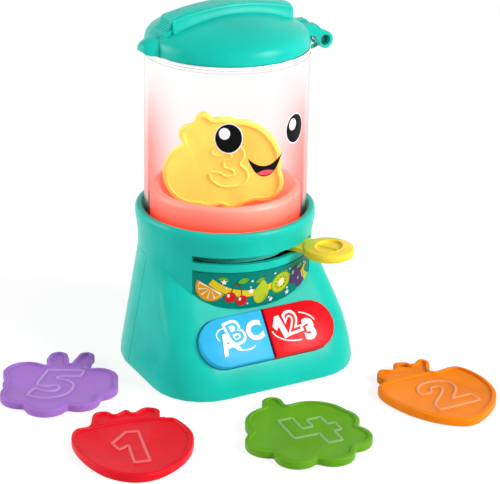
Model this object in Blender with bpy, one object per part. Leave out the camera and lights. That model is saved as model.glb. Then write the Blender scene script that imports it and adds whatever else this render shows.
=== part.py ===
"""Toy blender: a toddler's play blender with a clear jar, a swinging lever, two buttons and fruit pieces.

Units are metres, +Z is up, the front with the buttons faces -Y, and the origin lies at the
middle of the underside, on the jar's axis.
"""

import math

import bmesh
import bpy
from mathutils import Matrix, Vector

# Clearances, walls and fits
GAP = 0.0003
RUNNING_GAP = 0.0004
OVERRUN = 0.0020
FINE = 1e-8
WELD = 0.000002
SHARP_ANGLE = math.radians(34)

# Jar, which the base, lid and bowl are fitted to
JAR_TOP_RADIUS = 0.0488
JAR_DRAFT = 0.0005
JAR_FOOT_RADIUS = JAR_TOP_RADIUS + JAR_DRAFT
JAR_WALL = 0.0022
JAR_BEAD_HEIGHT = 0.0030
JAR_BEAD = 0.0003
JAR_STEPS = 48
JAR_SEAT_WALL = 0.0037
NECK_RADIUS = JAR_FOOT_RADIUS + JAR_SEAT_WALL

# Base body
BODY_SIDE_FLARE = 0.0132
BODY_BACK_FLARE = 0.0050
BODY_FRONT_FLARE = 0.0175
BODY_TOP_INSET = 0.0004
BODY_HALF_WIDTH = NECK_RADIUS + BODY_SIDE_FLARE
BODY_BACK = NECK_RADIUS + BODY_BACK_FLARE
BODY_FRONT = NECK_RADIUS + BODY_FRONT_FLARE
BODY_TOP_RADIUS = NECK_RADIUS - BODY_TOP_INSET
BODY_HEIGHT = 0.0720
FOOT_CORNER = 0.0330
PANEL_CORNER = 0.0170
CORNER_EASE = 0.45
BODY_WALL = 0.0024
FOOT_RIM = 0.0052
FOOT_RIM_HEIGHT = 0.0042
FOOT_ROUNDING = 0.0026
PANEL_SLOPE = math.radians(52)
PANEL_SET_BACK = 0.0077
PANEL_HEIGHT_SHARE = 0.5861
PANEL_Y = PANEL_SET_BACK - NECK_RADIUS
PANEL_Z = BODY_HEIGHT * PANEL_HEIGHT_SHARE
PANEL_BLEND_POWER = 12
SEAM_DROP = 0.0010
SEAM_HEIGHT = BODY_HEIGHT - SEAM_DROP
OUTER_LEVEL_SHARES = (0.0, 0.012, 0.038, 0.12, 0.21, 0.31, 0.41, 0.52, 0.63, 0.76, 0.89, 1.0)
INNER_LEVEL_SHARES = (0.2, 0.36, 0.52, 0.68, 0.84, 1.0)
BACK_STEPS = 16
CORNER_STEPS = 6
FRONT_STEPS = 4

# Neck, collar, lever slot and print recess
NECK_FOOT = 0.0300
NECK_WALL = 0.0028
NECK_STEPS = 48
BORE_STEPS = 36
NECK_TURN = math.radians(1.3)
SECTOR_STEPS = 12
SECTOR_LEVELS = 5
COLLAR_LIFT = 0.0040
COLLAR_HEIGHT = 0.0202
COLLAR_STEP = 0.0017
COLLAR_START = BODY_HEIGHT + COLLAR_LIFT
COLLAR_TOP = COLLAR_START + COLLAR_HEIGHT
COLLAR_RADIUS = NECK_RADIUS + COLLAR_STEP
COLLAR_LIP = 0.0050
COLLAR_SHARES = ((0.0, 0.0), (0.12, 0.25), (0.5, 0.52), (0.88, 0.72), (1.0, 0.86))
LIP_SHARES = ((0.94, 0.93), (0.78, 0.985), (0.5, 1.0), (0.2, 0.985), (0.04, 0.93))
SLOT_LIFT = 0.0046
SLOT_BOTTOM = BODY_HEIGHT + SLOT_LIFT
SLOT_HEIGHT = 0.0044
SLOT_HALF_ANGLE = math.radians(49)
RECESS_TOP = BODY_HEIGHT
RECESS_FOOT = 0.0280
RECESS_DEPTH = 0.0012
RECESS_LEAN = 0.0125
LABEL_THICKNESS = 0.0005
LABEL_MARGIN = 0.0011

# Jar seat
LEDGE_WIDTH = 0.0033
LEDGE_LIFT = 0.0006
LEDGE_RADIUS = JAR_FOOT_RADIUS - LEDGE_WIDTH
LEDGE_BOTTOM = SLOT_BOTTOM + SLOT_HEIGHT + LEDGE_LIFT
LEDGE_THICKNESS = 0.0017
FLOOR_THICKNESS = 0.0021
JAR_SHOWING = 0.0990
JAR_TOP = COLLAR_TOP + JAR_SHOWING

# Hinge
HINGE_REACH = 0.0127
HINGE_DROP = 0.0027
HINGE_X = JAR_TOP_RADIUS + HINGE_REACH
HINGE_Z = JAR_TOP - HINGE_DROP
BARREL_RADIUS = 0.0052
BARREL_HALF_LENGTH = 0.0092
HINGE_PIN_RADIUS = 0.0030
HINGE_PIN_INSET = 0.0042
LUG_RADIUS = 0.0046
LUG_HALF_WIDTH = 0.0032
LUG_DROP = 0.0090

# Lid
LID_OVERHANG = 0.0002
LID_RADIUS = JAR_TOP_RADIUS + LID_OVERHANG
LID_STEPS = 48
LID_WALL = 0.0022
LID_HEIGHT = 0.0207
LID_RING_FIT = 0.0004
LID_RING_RADIUS = JAR_TOP_RADIUS - JAR_WALL - LID_RING_FIT
LID_RING_WALL = 0.0015
LID_RING_DEPTH = 0.0028
LID_DOME_SHARES = (
    (0.99, 0.0), (1.0, 0.04), (0.994, 0.16), (0.978, 0.314), (0.942, 0.435), (0.87, 0.54),
    (0.76, 0.665), (0.6, 0.8), (0.4, 0.915), (0.2, 0.98), (0.0, 1.0),
)
RIB_HALF_WIDTH = 0.0080
RIB_LEFT_INSET = 0.0100
RIB_RIGHT_INSET = 0.0100
RIB_LEFT = RIB_LEFT_INSET - LID_RADIUS
RIB_RIGHT = LID_RADIUS - RIB_RIGHT_INSET
RIB_RISE = 0.0048
RIB_END_RISE = 0.0072
RIB_EDGE = 0.0014
RIB_SINK = 0.0011
RIB_STATIONS = 10
GRIP_LENGTH = 0.0046
GRIP_HALF_WIDTH = 0.0078
GRIP_RISE = 0.0020
TAB_LENGTH = 0.0075
TAB_INSET = 0.0035
TAB_REACH = LID_RADIUS + TAB_LENGTH
TAB_ROOT = LID_RADIUS - TAB_INSET
TAB_LIFT = 0.0070
TAB_HALF_WIDTH = 0.0088
TAB_HEIGHT = 0.0098
TAB_STEPS = 10
TAB_SHARES = (
    (0.0, 1.0, 1.0, 0.0), (0.4, 0.97, 0.92, 0.02), (0.68, 0.89, 0.8, 0.06), (0.87, 0.72, 0.62, 0.14),
    (0.97, 0.48, 0.4, 0.25), (1.0, 0.2, 0.16, 0.36),
)
ARM_THICKNESS = 0.0066

# Gear train and lever
SHAFT_RADIUS = 0.0025
GEAR_MODULE_SHARE = 0.022642
GEAR_MODULE = NECK_RADIUS * GEAR_MODULE_SHARE
WHEEL_TEETH = 30
PINION_TEETH = 15
WHEEL_RADIUS = GEAR_MODULE * WHEEL_TEETH / 2
PINION_RADIUS = GEAR_MODULE * PINION_TEETH / 2
GEAR_DISTANCE = WHEEL_RADIUS + PINION_RADIUS
ADDENDUM_SHARE = 0.85
DEDENDUM_SHARE = 1.25
ROOT_TOOTH_SHARE = 0.46
TIP_TOOTH_SHARE = 0.24
PLATE_DROP = 0.0040
PLATE_EDGE_ROOM = 0.0016
PLATE_BOTTOM = BODY_HEIGHT - PLATE_DROP
PLATE_THICKNESS = 0.0020
PLATE_RADIUS = NECK_RADIUS - NECK_WALL - PLATE_EDGE_ROOM
BEARING_HEIGHT = 0.0032
BEARING_WALL = 0.0022
LOWER_GEAR_LIFT = 0.0018
LOWER_GEAR_BOTTOM = PLATE_BOTTOM + PLATE_THICKNESS + LOWER_GEAR_LIFT
LOWER_GEAR_THICKNESS = 0.0038
LEVER_LIFT = 0.0007
LEVER_BOTTOM = SLOT_BOTTOM + LEVER_LIFT
LEVER_THICKNESS = 0.0030
IDLER_AXLE_RADIUS = 0.0015
POST_RADIUS = 0.0030
POST_INSET = 0.0068
POST_CIRCLE = NECK_RADIUS - POST_INSET
POST_ANGLES = (math.radians(-20), math.radians(20), math.radians(160), math.radians(200))
LEVER_ANGLE = math.radians(-56.1)
LEVER_NECK_HALF_WIDTH = 0.0088
LEVER_TAPER_SHARE = 0.7
LEVER_ROOT_HALF_WIDTH = 0.0060
PAD_STAND_OFF = 0.0170
PAD_CENTRE = NECK_RADIUS + PAD_STAND_OFF
PAD_RADIUS = 0.0153
PAD_THICKNESS = 0.0052
PAD_DISH_SHARE = 0.66
PAD_DISH_WIDTH_SHARE = 0.5
PAD_DISH_DEPTH = 0.0012
PAD_ROUNDING = 0.0012

# Curved shield behind the slot, carried round by the lever
SHIELD_WALL = 0.0012
SHIELD_HALF_ANGLE = math.radians(84)
SHIELD_STEPS = 28

# Tumbler bowl in the jar
BOWL_ROOM = 0.0010
BOWL_RADIUS = JAR_TOP_RADIUS - JAR_WALL - BOWL_ROOM
BOWL_LIFT = 0.0006
BOWL_HEIGHT = 0.0225
BOWL_FLOOR = 0.0030
BOWL_RIM = 0.0062
BOWL_HUB_RADIUS = 0.0075
BOWL_HUB_HEIGHT = 0.0020
BOWL_SLOPE = 0.0156
BOWL_FLOOR_RADIUS = BOWL_RADIUS - BOWL_SLOPE
SHAFT_IN_BOWL = 0.0034
BUSH_WALL = 0.0016
BUSH_FLANGE = 0.0012

# Light board under the jar floor
BOARD_THICKNESS = 0.0014
LIGHT_BOARD_ROOM = 0.0035
LIGHT_BOARD_WIDTH = 0.0185
LIGHT_INSET = 0.0075
LIGHT_BOARD_OUTER = LEDGE_RADIUS - LIGHT_BOARD_ROOM
LIGHT_BOARD_INNER = LIGHT_BOARD_OUTER - LIGHT_BOARD_WIDTH
LIGHT_CIRCLE = LIGHT_BOARD_OUTER - LIGHT_INSET
LIGHT_SIZE = 0.0030
LIGHT_HEIGHT = 0.0008
LIGHT_ANGLES = (math.radians(0), math.radians(90), math.radians(180), math.radians(270))

# Buttons
BUTTON_SIDE_ROOM = 0.0213
BUTTON_HALF_LENGTH = BODY_HALF_WIDTH - BUTTON_SIDE_ROOM
BUTTON_HALF_HEIGHT = 0.0152
BUTTON_RUN = 0.0093
BUTTON_CENTRE_Y = PANEL_Y - BUTTON_RUN
BUTTON_DIVIDE = 0.0008
BUTTON_PROUD = 0.0037
BUTTON_ROUNDING = 0.0012
BUTTON_FLANGE = 0.0012
BUTTON_FLANGE_THICKNESS = 0.0012
BUTTON_FLANGE_DEPTH = 0.0037
BUTTON_TRAVEL = 0.0024
PLUNGER_RADIUS = 0.0032
PLUNGER_LENGTH = 0.0012
DOME_RADIUS = 0.0045
DOME_HEIGHT = 0.0010
BUTTON_BOARD_OVERLAP = 0.0066
BUTTON_BOARD_HALF_LENGTH = BUTTON_HALF_LENGTH + BUTTON_BOARD_OVERLAP
BUTTON_BOARD_LOW = 0.0140
BUTTON_BOARD_HIGH = 0.0120
BOARD_POST_RADIUS = 0.0020
BOARD_POST_RISE = 0.0080
CHIP_RADIUS = 0.0060
CHIP_HEIGHT = 0.0018
CHIP_PLACE_SHARE = 0.8

# Base plate and batteries
PLATE_FLOOR = 0.0034
BATTERY_RADIUS = 0.00525
BATTERY_LENGTH = 0.0445
BATTERY_COUNT = 3
BATTERY_SPACING = 0.0109
BATTERY_CENTRE_Y = -0.0260
BATTERY_TIP_RADIUS = 0.0019
BATTERY_TIP_LENGTH = 0.0010
CONTACT_ROOM = 0.0036
CONTACT_THICKNESS = 0.0005
DOOR_THICKNESS = 0.0026
DOOR_LIP = 0.0014
DOOR_TAB_REACH = 0.0086
DOOR_TAB_HALF_WIDTH = 0.0046
DOOR_INSET = 0.0003
TRAY_WALL = 0.0016
TRAY_HEADROOM = 0.0004
BOSS_RADIUS = 0.0036
BOSS_TOP = 0.0200
BOSS_RIB = 0.0022
BOSS_PLACES_SHARES = ((-0.74, -0.64), (0.74, -0.64), (-0.66, 0.36), (0.66, 0.36))
SCREW_RADIUS = 0.0012
SCREW_HEAD_RADIUS = 0.0027
SCREW_HEAD_HEIGHT = 0.0014
SCREW_LENGTH = 0.0110
DOOR_SCREW_LENGTH = 0.0056
DOOR_BOSS_TOP = 0.0090

# Speaker and power switch in the rear cover
SPEAKER_RADIUS_SHARE = 0.25
SPEAKER_HEIGHT_SHARE = 0.486
SPEAKER_RADIUS = BODY_HEIGHT * SPEAKER_RADIUS_SHARE
SPEAKER_Z = BODY_HEIGHT * SPEAKER_HEIGHT_SHARE
SPEAKER_INSET = 0.0115
SPEAKER_Y = BODY_BACK - SPEAKER_INSET
SPEAKER_RIM = 0.0024
SPEAKER_DEPTH = 0.0062
MAGNET_RADIUS = 0.0090
MAGNET_DEPTH = 0.0050
SPEAKER_RING_WALL = 0.0016
GRILLE_SLOTS = 6
GRILLE_SLOT_WIDTH = 0.0020
GRILLE_PITCH = 0.0046
GRILLE_HALF_HEIGHT = 0.0130
SWITCH_HEIGHT_SHARE = 0.847
SWITCH_Z = BODY_HEIGHT * SWITCH_HEIGHT_SHARE
SWITCH_TRAVEL = 0.0060
SWITCH_POCKET_INSET = 0.0074
SWITCH_POCKET_Y = BODY_BACK - SWITCH_POCKET_INSET
SWITCH_POCKET_HALF_WIDTH = 0.0110
SWITCH_POCKET_HALF_HEIGHT = 0.0045
SWITCH_PAD_INSET = 0.0105
SWITCH_PAD_BACK = BODY_BACK - SWITCH_PAD_INSET
SWITCH_KNOB_HALF_WIDTH = 0.0038
SWITCH_KNOB_HALF_HEIGHT = 0.0032
SWITCH_KNOB_THICKNESS = 0.0034
SWITCH_STEM_HALF_WIDTH = 0.0018
SWITCH_STEM_HALF_HEIGHT = 0.0014
SWITCH_BODY_HALF_WIDTH = 0.0095
SWITCH_BODY_HALF_HEIGHT = 0.0048
SWITCH_BODY_DEPTH = 0.0050

# Play pieces
PIECE_THICKNESS = 0.0050
PIECE_RIM = 0.0026
PIECE_DISH = 0.0006
PIECE_ROUNDING = 0.0007
PIECE_STEPS = 44
PIECE_FIT_SHARE = 0.7675
PIECE_HALF_SIZE = BOWL_RADIUS * PIECE_FIT_SHARE
PIECE_YAW = math.radians(-28.2)
RED_PLACE = (-0.1070, -0.0980)
ORANGE_PLACE = (0.0800, -0.1200)
GREEN_PLACE = (-0.0180, -0.1270)
PURPLE_PLACE = (-0.1150, -0.0120)
PIECE_STAND = 0.0008
BERRY_SHARES = (
    (0.62, 0.86), (0.9, 0.42), (0.93, -0.05), (0.78, -0.5), (0.45, -0.9), (0.05, -1.04),
    (-0.4, -0.88), (-0.78, -0.45), (-1.0, 0.05), (-0.98, 0.42), (-0.76, 0.56), (-0.72, 0.98),
    (-0.5, 1.06), (-0.38, 0.96), (-0.2, 1.14), (-0.08, 1.03), (0.1, 1.22), (0.34, 1.16),
    (0.38, 0.88),
)
CARROT_SHARES = (
    (0.42, 0.94), (0.8, 0.6), (0.99, 0.05), (0.88, -0.5), (0.5, -1.0), (0.0, -0.98),
    (-0.5, -0.7), (-0.9, -0.25), (-1.0, 0.1), (-0.86, 0.34), (-0.98, 0.5), (-0.92, 0.76),
    (-0.68, 0.78), (-0.66, 1.02), (-0.42, 1.06), (-0.34, 0.98), (-0.2, 1.2), (-0.04, 1.1),
    (-0.02, 0.72),
)
GRAPE_LOBE_SHARES = (
    (-0.62, 0.4, 0.4), (-0.68, -0.02, 0.3), (-0.62, -0.38, 0.36), (-0.18, -0.64, 0.38), (0.36, -0.46, 0.35),
    (0.62, -0.06, 0.36), (0.6, 0.24, 0.36), (-0.13, 0.9, 0.2), (-0.13, 1.04, 0.17),
    (0.3, 0.86, 0.16), (0.35, 1.06, 0.15),
    (0.0, 0.1, 0.66),
)
LEAF_LOBE_SHARES = (
    (-0.42, 1.0, 0.18), (-0.36, 0.8, 0.2), (-0.3, 0.3, 0.58), (0.25, 0.4, 0.66), (0.6, 0.42, 0.4),
    (-0.5, -0.32, 0.38), (-0.06, -0.68, 0.36), (0.5, -0.56, 0.38), (0.82, -0.12, 0.36),
    (0.1, -0.1, 0.62),
)
LEMON_LOBE_SHARES = (
    (0.2, 0.0, 0.76), (-0.5, -0.22, 0.58), (-0.55, -0.46, 0.3), (-0.28, -0.56, 0.28), (0.1, -0.54, 0.31),
    (0.64, -0.34, 0.36), (-0.38, 0.72, 0.16), (-0.66, 0.5, 0.15), (-0.45, 0.42, 0.3), (-0.05, 0.2, 0.6),
)

TEAL = (0.02, 0.62, 0.50)
YELLOW = (0.95, 0.72, 0.09)
BLUE = (0.07, 0.52, 0.90)
RED = (0.85, 0.01, 0.02)


def clear_scene():
    """Start from an empty scene."""
    for item in list(bpy.data.objects):
        bpy.data.objects.remove(item, do_unlink=True)


def surface(name, colour, roughness=0.35, metallic=0.0):
    """One Principled material."""
    material = bpy.data.materials.new(name)
    material.use_nodes = True
    shader = material.node_tree.nodes["Principled BSDF"]
    shader.inputs["Base Color"].default_value = (*colour, 1.0)
    shader.inputs["Roughness"].default_value = roughness
    shader.inputs["Metallic"].default_value = metallic
    return material


def add_object(name, form, material=None, pivot=(0.0, 0.0, 0.0), matrix=None):
    """Place one piece, its origin at its pivot, with soft shading and sharp edges."""
    if matrix is not None:
        form.transform(matrix)
    bmesh.ops.remove_doubles(form, verts=form.verts[:], dist=WELD)
    bmesh.ops.recalc_face_normals(form, faces=form.faces[:])
    mesh = bpy.data.meshes.new(name)
    form.to_mesh(mesh)
    form.free()
    mesh.transform(Matrix.Translation(-Vector(pivot)))
    mesh.shade_smooth()
    mesh.set_sharp_from_angle(angle=SHARP_ANGLE)
    item = bpy.data.objects.new(name, mesh)
    item.location = pivot
    bpy.context.scene.collection.objects.link(item)
    if material is not None:
        mesh.materials.append(material)
    return item


def add_tool(name, form, matrix=None):
    """A hidden solid that only shapes other objects."""
    tool = add_object(name, form, matrix=matrix)
    tool.hide_render = True
    tool.display_type = "WIRE"
    return tool


def combine(target, tool, operation):
    """Join, cut or intersect one object with a tool."""
    modifier = target.modifiers.new(f"{operation.lower()}_{tool.name}", "BOOLEAN")
    modifier.operation = operation
    modifier.solver = "EXACT"
    modifier.object = tool


def join(target, tool):
    combine(target, tool, "UNION")


def cut(target, tool):
    combine(target, tool, "DIFFERENCE")


def keep_inside(target, tool):
    combine(target, tool, "INTERSECT")


def loft(rings, closed=False):
    """Skin a row of rings with equal point counts; the ends get flat caps unless the row is closed."""
    form = bmesh.new()
    rows = [[form.verts.new(point) for point in ring] for ring in rings]
    count = len(rows[0])
    pairs = list(zip(rows[:-1], rows[1:]))
    if closed:
        pairs.append((rows[-1], rows[0]))
    for lower, upper in pairs:
        for i in range(count):
            j = (i + 1) % count
            form.faces.new((lower[i], lower[j], upper[j], upper[i]))
    if not closed:
        form.faces.new(list(reversed(rows[0])))
        form.faces.new(rows[-1])
    return form


def prism(outline, bottom, top):
    """A straight solid over an outline."""
    form = bmesh.new()
    base = form.faces.new([form.verts.new((x, y, bottom)) for x, y in outline])
    raised = bmesh.ops.extrude_face_region(form, geom=[base], use_keep_orig=True)["geom"]
    corners = [item for item in raised if isinstance(item, bmesh.types.BMVert)]
    bmesh.ops.translate(form, verts=corners, vec=(0.0, 0.0, top - bottom))
    return form


def turned(profile, steps, closed):
    """A solid of revolution about Z; the round ends of an open profile get flat caps."""
    form = bmesh.new()
    points = [form.verts.new((radius, 0.0, height)) for radius, height in profile]
    edges = [form.edges.new(pair) for pair in zip(points[:-1], points[1:])]
    if closed:
        edges.append(form.edges.new((points[-1], points[0])))
    bmesh.ops.spin(
        form, geom=points + edges, cent=(0.0, 0.0, 0.0), axis=(0.0, 0.0, 1.0),
        angle=math.tau, steps=steps, use_merge=True,
    )
    bmesh.ops.remove_doubles(form, verts=form.verts[:], dist=WELD)
    if not closed:
        bmesh.ops.holes_fill(form, edges=form.edges[:], sides=0)
    return form


def rod(radius, bottom, top, steps=24):
    """A plain cylinder on the Z axis."""
    return prism(circle(radius, steps), bottom, top)


def tube(inner, outer, bottom, top, steps=32):
    """A ring with a square section on the Z axis."""
    profile = ((outer, top), (outer, bottom), (inner, bottom), (inner, top))
    return turned(profile, steps, closed=True)


def block(low, high):
    """A box between two corners."""
    (x0, y0, z0), (x1, y1, z1) = low, high
    return prism(((x0, y0), (x1, y0), (x1, y1), (x0, y1)), z0, z1)


def circle(radius, steps, centre=(0.0, 0.0)):
    """Points round a circle."""
    turns = [math.tau * i / steps for i in range(steps)]
    return [(centre[0] + radius * math.cos(t), centre[1] + radius * math.sin(t)) for t in turns]


def polar(radius, angle):
    """The point at an angle, measured from +X."""
    return (radius * math.cos(angle), radius * math.sin(angle))


def shifted(x=0.0, y=0.0, z=0.0):
    return Matrix.Translation((x, y, z))


def facing_back(x, y, z):
    """Carry a solid built along +Z to a place where it points to +Y."""
    return Matrix.Translation((x, y, z)) @ Matrix.Rotation(-math.pi / 2, 4, "X")


def along_y(x, z):
    """Carry a solid built round Z to an axis along Y."""
    return Matrix.Translation((x, 0.0, z)) @ Matrix.Rotation(math.pi / 2, 4, "X")


def on_panel():
    """The sloping panel's own frame: X across, Y up the slope, Z out of the panel."""
    z = PANEL_Z + (BUTTON_CENTRE_Y - PANEL_Y) * math.tan(PANEL_SLOPE)
    return Matrix.Translation((0.0, BUTTON_CENTRE_Y, z)) @ Matrix.Rotation(PANEL_SLOPE, 4, "X")


def body_size(height):
    """Half width, back depth, front depth and corner radius of the base body at one level."""
    share = max(height, 0.0) / BODY_HEIGHT
    across = BODY_HALF_WIDTH + (BODY_TOP_RADIUS - BODY_HALF_WIDTH) * share
    back = BODY_BACK + (BODY_TOP_RADIUS - BODY_BACK) * share
    panel = -PANEL_Y - (height - PANEL_Z) / math.tan(PANEL_SLOPE)
    power = PANEL_BLEND_POWER
    front = (BODY_FRONT ** -power + panel ** -power) ** (-1.0 / power)
    corner = PANEL_CORNER + (FOOT_CORNER - PANEL_CORNER) * max(1.0 - share / CORNER_EASE, 0.0)
    return across, back, front, min(corner, front)


def body_section(height, draw_in):
    """The plan outline at one level: half an ellipse behind, flat front, rounded front corners."""
    across, back, front, corner = body_size(height)
    across, back, front = across - draw_in, back - draw_in, front - draw_in
    corner = max(corner - draw_in, draw_in / 2)
    points = []
    for i in range(BACK_STEPS):
        turn = math.pi * (i + 0.5) / BACK_STEPS
        points.append((across * math.cos(turn), back * math.sin(turn)))
    left = []
    for i in range(CORNER_STEPS + 1):
        turn = math.pi + math.pi / 2 * i / CORNER_STEPS
        left.append((corner - across + corner * math.cos(turn), corner - front + corner * math.sin(turn)))
    run = 2 * (across - corner) / FRONT_STEPS
    middle = [(corner - across + run * i, -front) for i in range(1, FRONT_STEPS)]
    right = [(-x, y) for x, y in reversed(left)]
    return points + left + middle + right


def body_ring(height, draw_in):
    return [(x, y, height) for x, y in body_section(height, draw_in)]


def body_front(x, height):
    """The y of the body's front surface over one x at one level."""
    size = body_size(height)
    front, corner = size[2], size[3]
    over = max(abs(x) - size[0] + corner, 0.0)
    return corner - front - math.sqrt(max(corner * corner - over * over, 0.0))


def body_solid():
    """The outside of the base body, rounded at its foot."""
    rings = []
    for share in OUTER_LEVEL_SHARES:
        height = BODY_HEIGHT * share
        below = max(FOOT_ROUNDING - height, 0.0)
        draw_in = FOOT_ROUNDING - math.sqrt(FOOT_ROUNDING ** 2 - below ** 2)
        rings.append(body_ring(height, draw_in))
    return loft(rings)


def body_cavity(wall, foot):
    """The inside of the base body, drawn in further at the foot, where the base plate sits."""
    rim = body_section(FOOT_RIM_HEIGHT, foot)
    rings = [[(x, y, height) for x, y in rim] for height in (-OVERRUN, FOOT_RIM_HEIGHT)]
    rings.append(body_ring(FOOT_RIM_HEIGHT + foot - wall, wall))
    rings += [body_ring(BODY_HEIGHT * share, wall) for share in INNER_LEVEL_SHARES]
    return loft(rings)


def recess_radius(angle, height, start):
    """The print recess leans inward as it goes down, most in the middle."""
    down = min(max((RECESS_TOP - height) / (RECESS_TOP - RECESS_FOOT), 0.0), 1.0)
    off_centre = abs(angle + math.pi / 2) / SLOT_HALF_ANGLE
    lean = math.cos(min(off_centre, 1.0) * math.pi / 2)
    return start - RECESS_LEAN * down * lean


def recess_heights(bottom, top):
    return [bottom + (top - bottom) * i / SECTOR_LEVELS for i in range(SECTOR_LEVELS + 1)]


def sector_angles(half_angle):
    return [-math.pi / 2 + half_angle * (2 * i / SECTOR_STEPS - 1) for i in range(SECTOR_STEPS + 1)]


def sector_loft(inner, outer, heights, half_angle):
    """A curved slab in front of the axis, between two radius functions."""
    angles = sector_angles(half_angle)
    rings = []
    for height in heights:
        near = [(*polar(inner(angle, height), angle), height) for angle in angles]
        far = [(*polar(outer(angle, height), angle), height) for angle in reversed(angles)]
        rings.append(near + far)
    return loft(rings)


def stadium(half_length, half_height, left, right, steps=10):
    """The outline of one half or all of the button pair; a cut end stops at left or right."""
    centre = half_length - half_height
    points = []
    if right is None:
        for i in range(steps + 1):
            turn = -math.pi / 2 + math.pi * i / steps
            points.append((centre + half_height * math.cos(turn), half_height * math.sin(turn)))
    else:
        points += [(right, -half_height), (right, half_height)]
    if left is None:
        for i in range(steps + 1):
            turn = math.pi / 2 + math.pi * i / steps
            points.append((-centre + half_height * math.cos(turn), half_height * math.sin(turn)))
    else:
        points += [(left, half_height), (left, -half_height)]
    return points


def boss_places():
    return [(x * BODY_HALF_WIDTH, y * BODY_HALF_WIDTH) for x, y in BOSS_PLACES_SHARES]


def neck_profile():
    """Outside of the neck and collar, from the top lip down to the foot inside the body."""
    height = COLLAR_TOP - COLLAR_START
    outer = [
        (NECK_RADIUS + (COLLAR_RADIUS - NECK_RADIUS) * out, COLLAR_START + height * up)
        for out, up in COLLAR_SHARES
    ]
    lip = [(COLLAR_RADIUS - COLLAR_LIP * (1 - out), COLLAR_START + height * up) for out, up in LIP_SHARES]
    return [(NECK_RADIUS, NECK_FOOT)] + outer + lip


def build_housing_tools():
    """The solids that shape both halves of the housing."""
    tools = {}
    turn = Matrix.Rotation(NECK_TURN, 4, "Z")
    tools["neck"] = add_tool("neck_form", turned(neck_profile(), NECK_STEPS, closed=False), turn)
    recess = sector_loft(
        lambda angle, height: recess_radius(angle, height, NECK_RADIUS - RECESS_DEPTH),
        lambda angle, height: NECK_RADIUS + OVERRUN,
        recess_heights(RECESS_FOOT, RECESS_TOP),
        SLOT_HALF_ANGLE,
    )
    cut(tools["neck"], add_tool("recess_cutter", recess))
    tools["cavity"] = add_tool("cavity_cutter", body_cavity(BODY_WALL, FOOT_RIM))
    tools["middle"] = add_tool("middle_wall", body_cavity(BODY_WALL / 2, FOOT_RIM - BODY_WALL / 2))
    angles = [math.tau * i / BORE_STEPS - math.pi / 2 + NECK_TURN for i in range(BORE_STEPS)]
    start = NECK_RADIUS - NECK_WALL
    bore = []
    for height in recess_heights(RECESS_FOOT, RECESS_TOP) + [LEDGE_BOTTOM]:
        radii = [recess_radius(wrapped(angle), height, start) for angle in angles]
        bore.append([(*polar(radius, angle), height) for radius, angle in zip(radii, angles)])
    tools["bore"] = add_tool("neck_bore_cutter", loft(bore))
    slot = sector_loft(
        lambda angle, height: LEDGE_RADIUS,
        lambda angle, height: COLLAR_RADIUS + OVERRUN,
        (SLOT_BOTTOM, SLOT_BOTTOM + SLOT_HEIGHT),
        SLOT_HALF_ANGLE,
    )
    tools["slot"] = add_tool("slot_cutter", slot)
    well = [
        (LEDGE_RADIUS, LEDGE_BOTTOM - OVERRUN),
        (LEDGE_RADIUS, LEDGE_BOTTOM + LEDGE_THICKNESS),
        (JAR_FOOT_RADIUS + GAP, LEDGE_BOTTOM + LEDGE_THICKNESS),
        (JAR_FOOT_RADIUS + GAP, COLLAR_TOP + OVERRUN),
    ]
    tools["well"] = add_tool("jar_well_cutter", turned(well, NECK_STEPS, closed=False), turn)
    return tools


def wrapped(angle):
    """The same angle between -pi and pi."""
    return math.atan2(math.sin(angle), math.cos(angle))


def housing_shell(name, material, tools):
    """The whole hollow outer shape, before it is split into front and rear."""
    shell = add_object(name, body_solid(), material)
    join(shell, tools["neck"])
    cut(shell, tools["cavity"])
    cut(shell, tools["bore"])
    cut(shell, tools["well"])
    cut(shell, tools["slot"])
    return shell


def boss(index, place, tools):
    """A screw boss with a rib to the nearest wall, trimmed to end inside that wall."""
    x, y = place
    reach = BODY_FRONT
    form = rod(BOSS_RADIUS, PLATE_FLOOR + GAP, BOSS_TOP, steps=12)
    post = add_tool(f"boss_{index}", form, shifted(x, y))
    rib = block((0.0, -BOSS_RIB / 2, PLATE_FLOOR + GAP), (reach, BOSS_RIB / 2, BOSS_TOP - BOSS_RIB))
    turn = Matrix.Rotation(math.atan2(y, x), 4, "Z")
    join(post, add_tool(f"boss_rib_{index}", rib, shifted(x, y) @ turn))
    keep_inside(post, tools["middle"])
    return post


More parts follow.
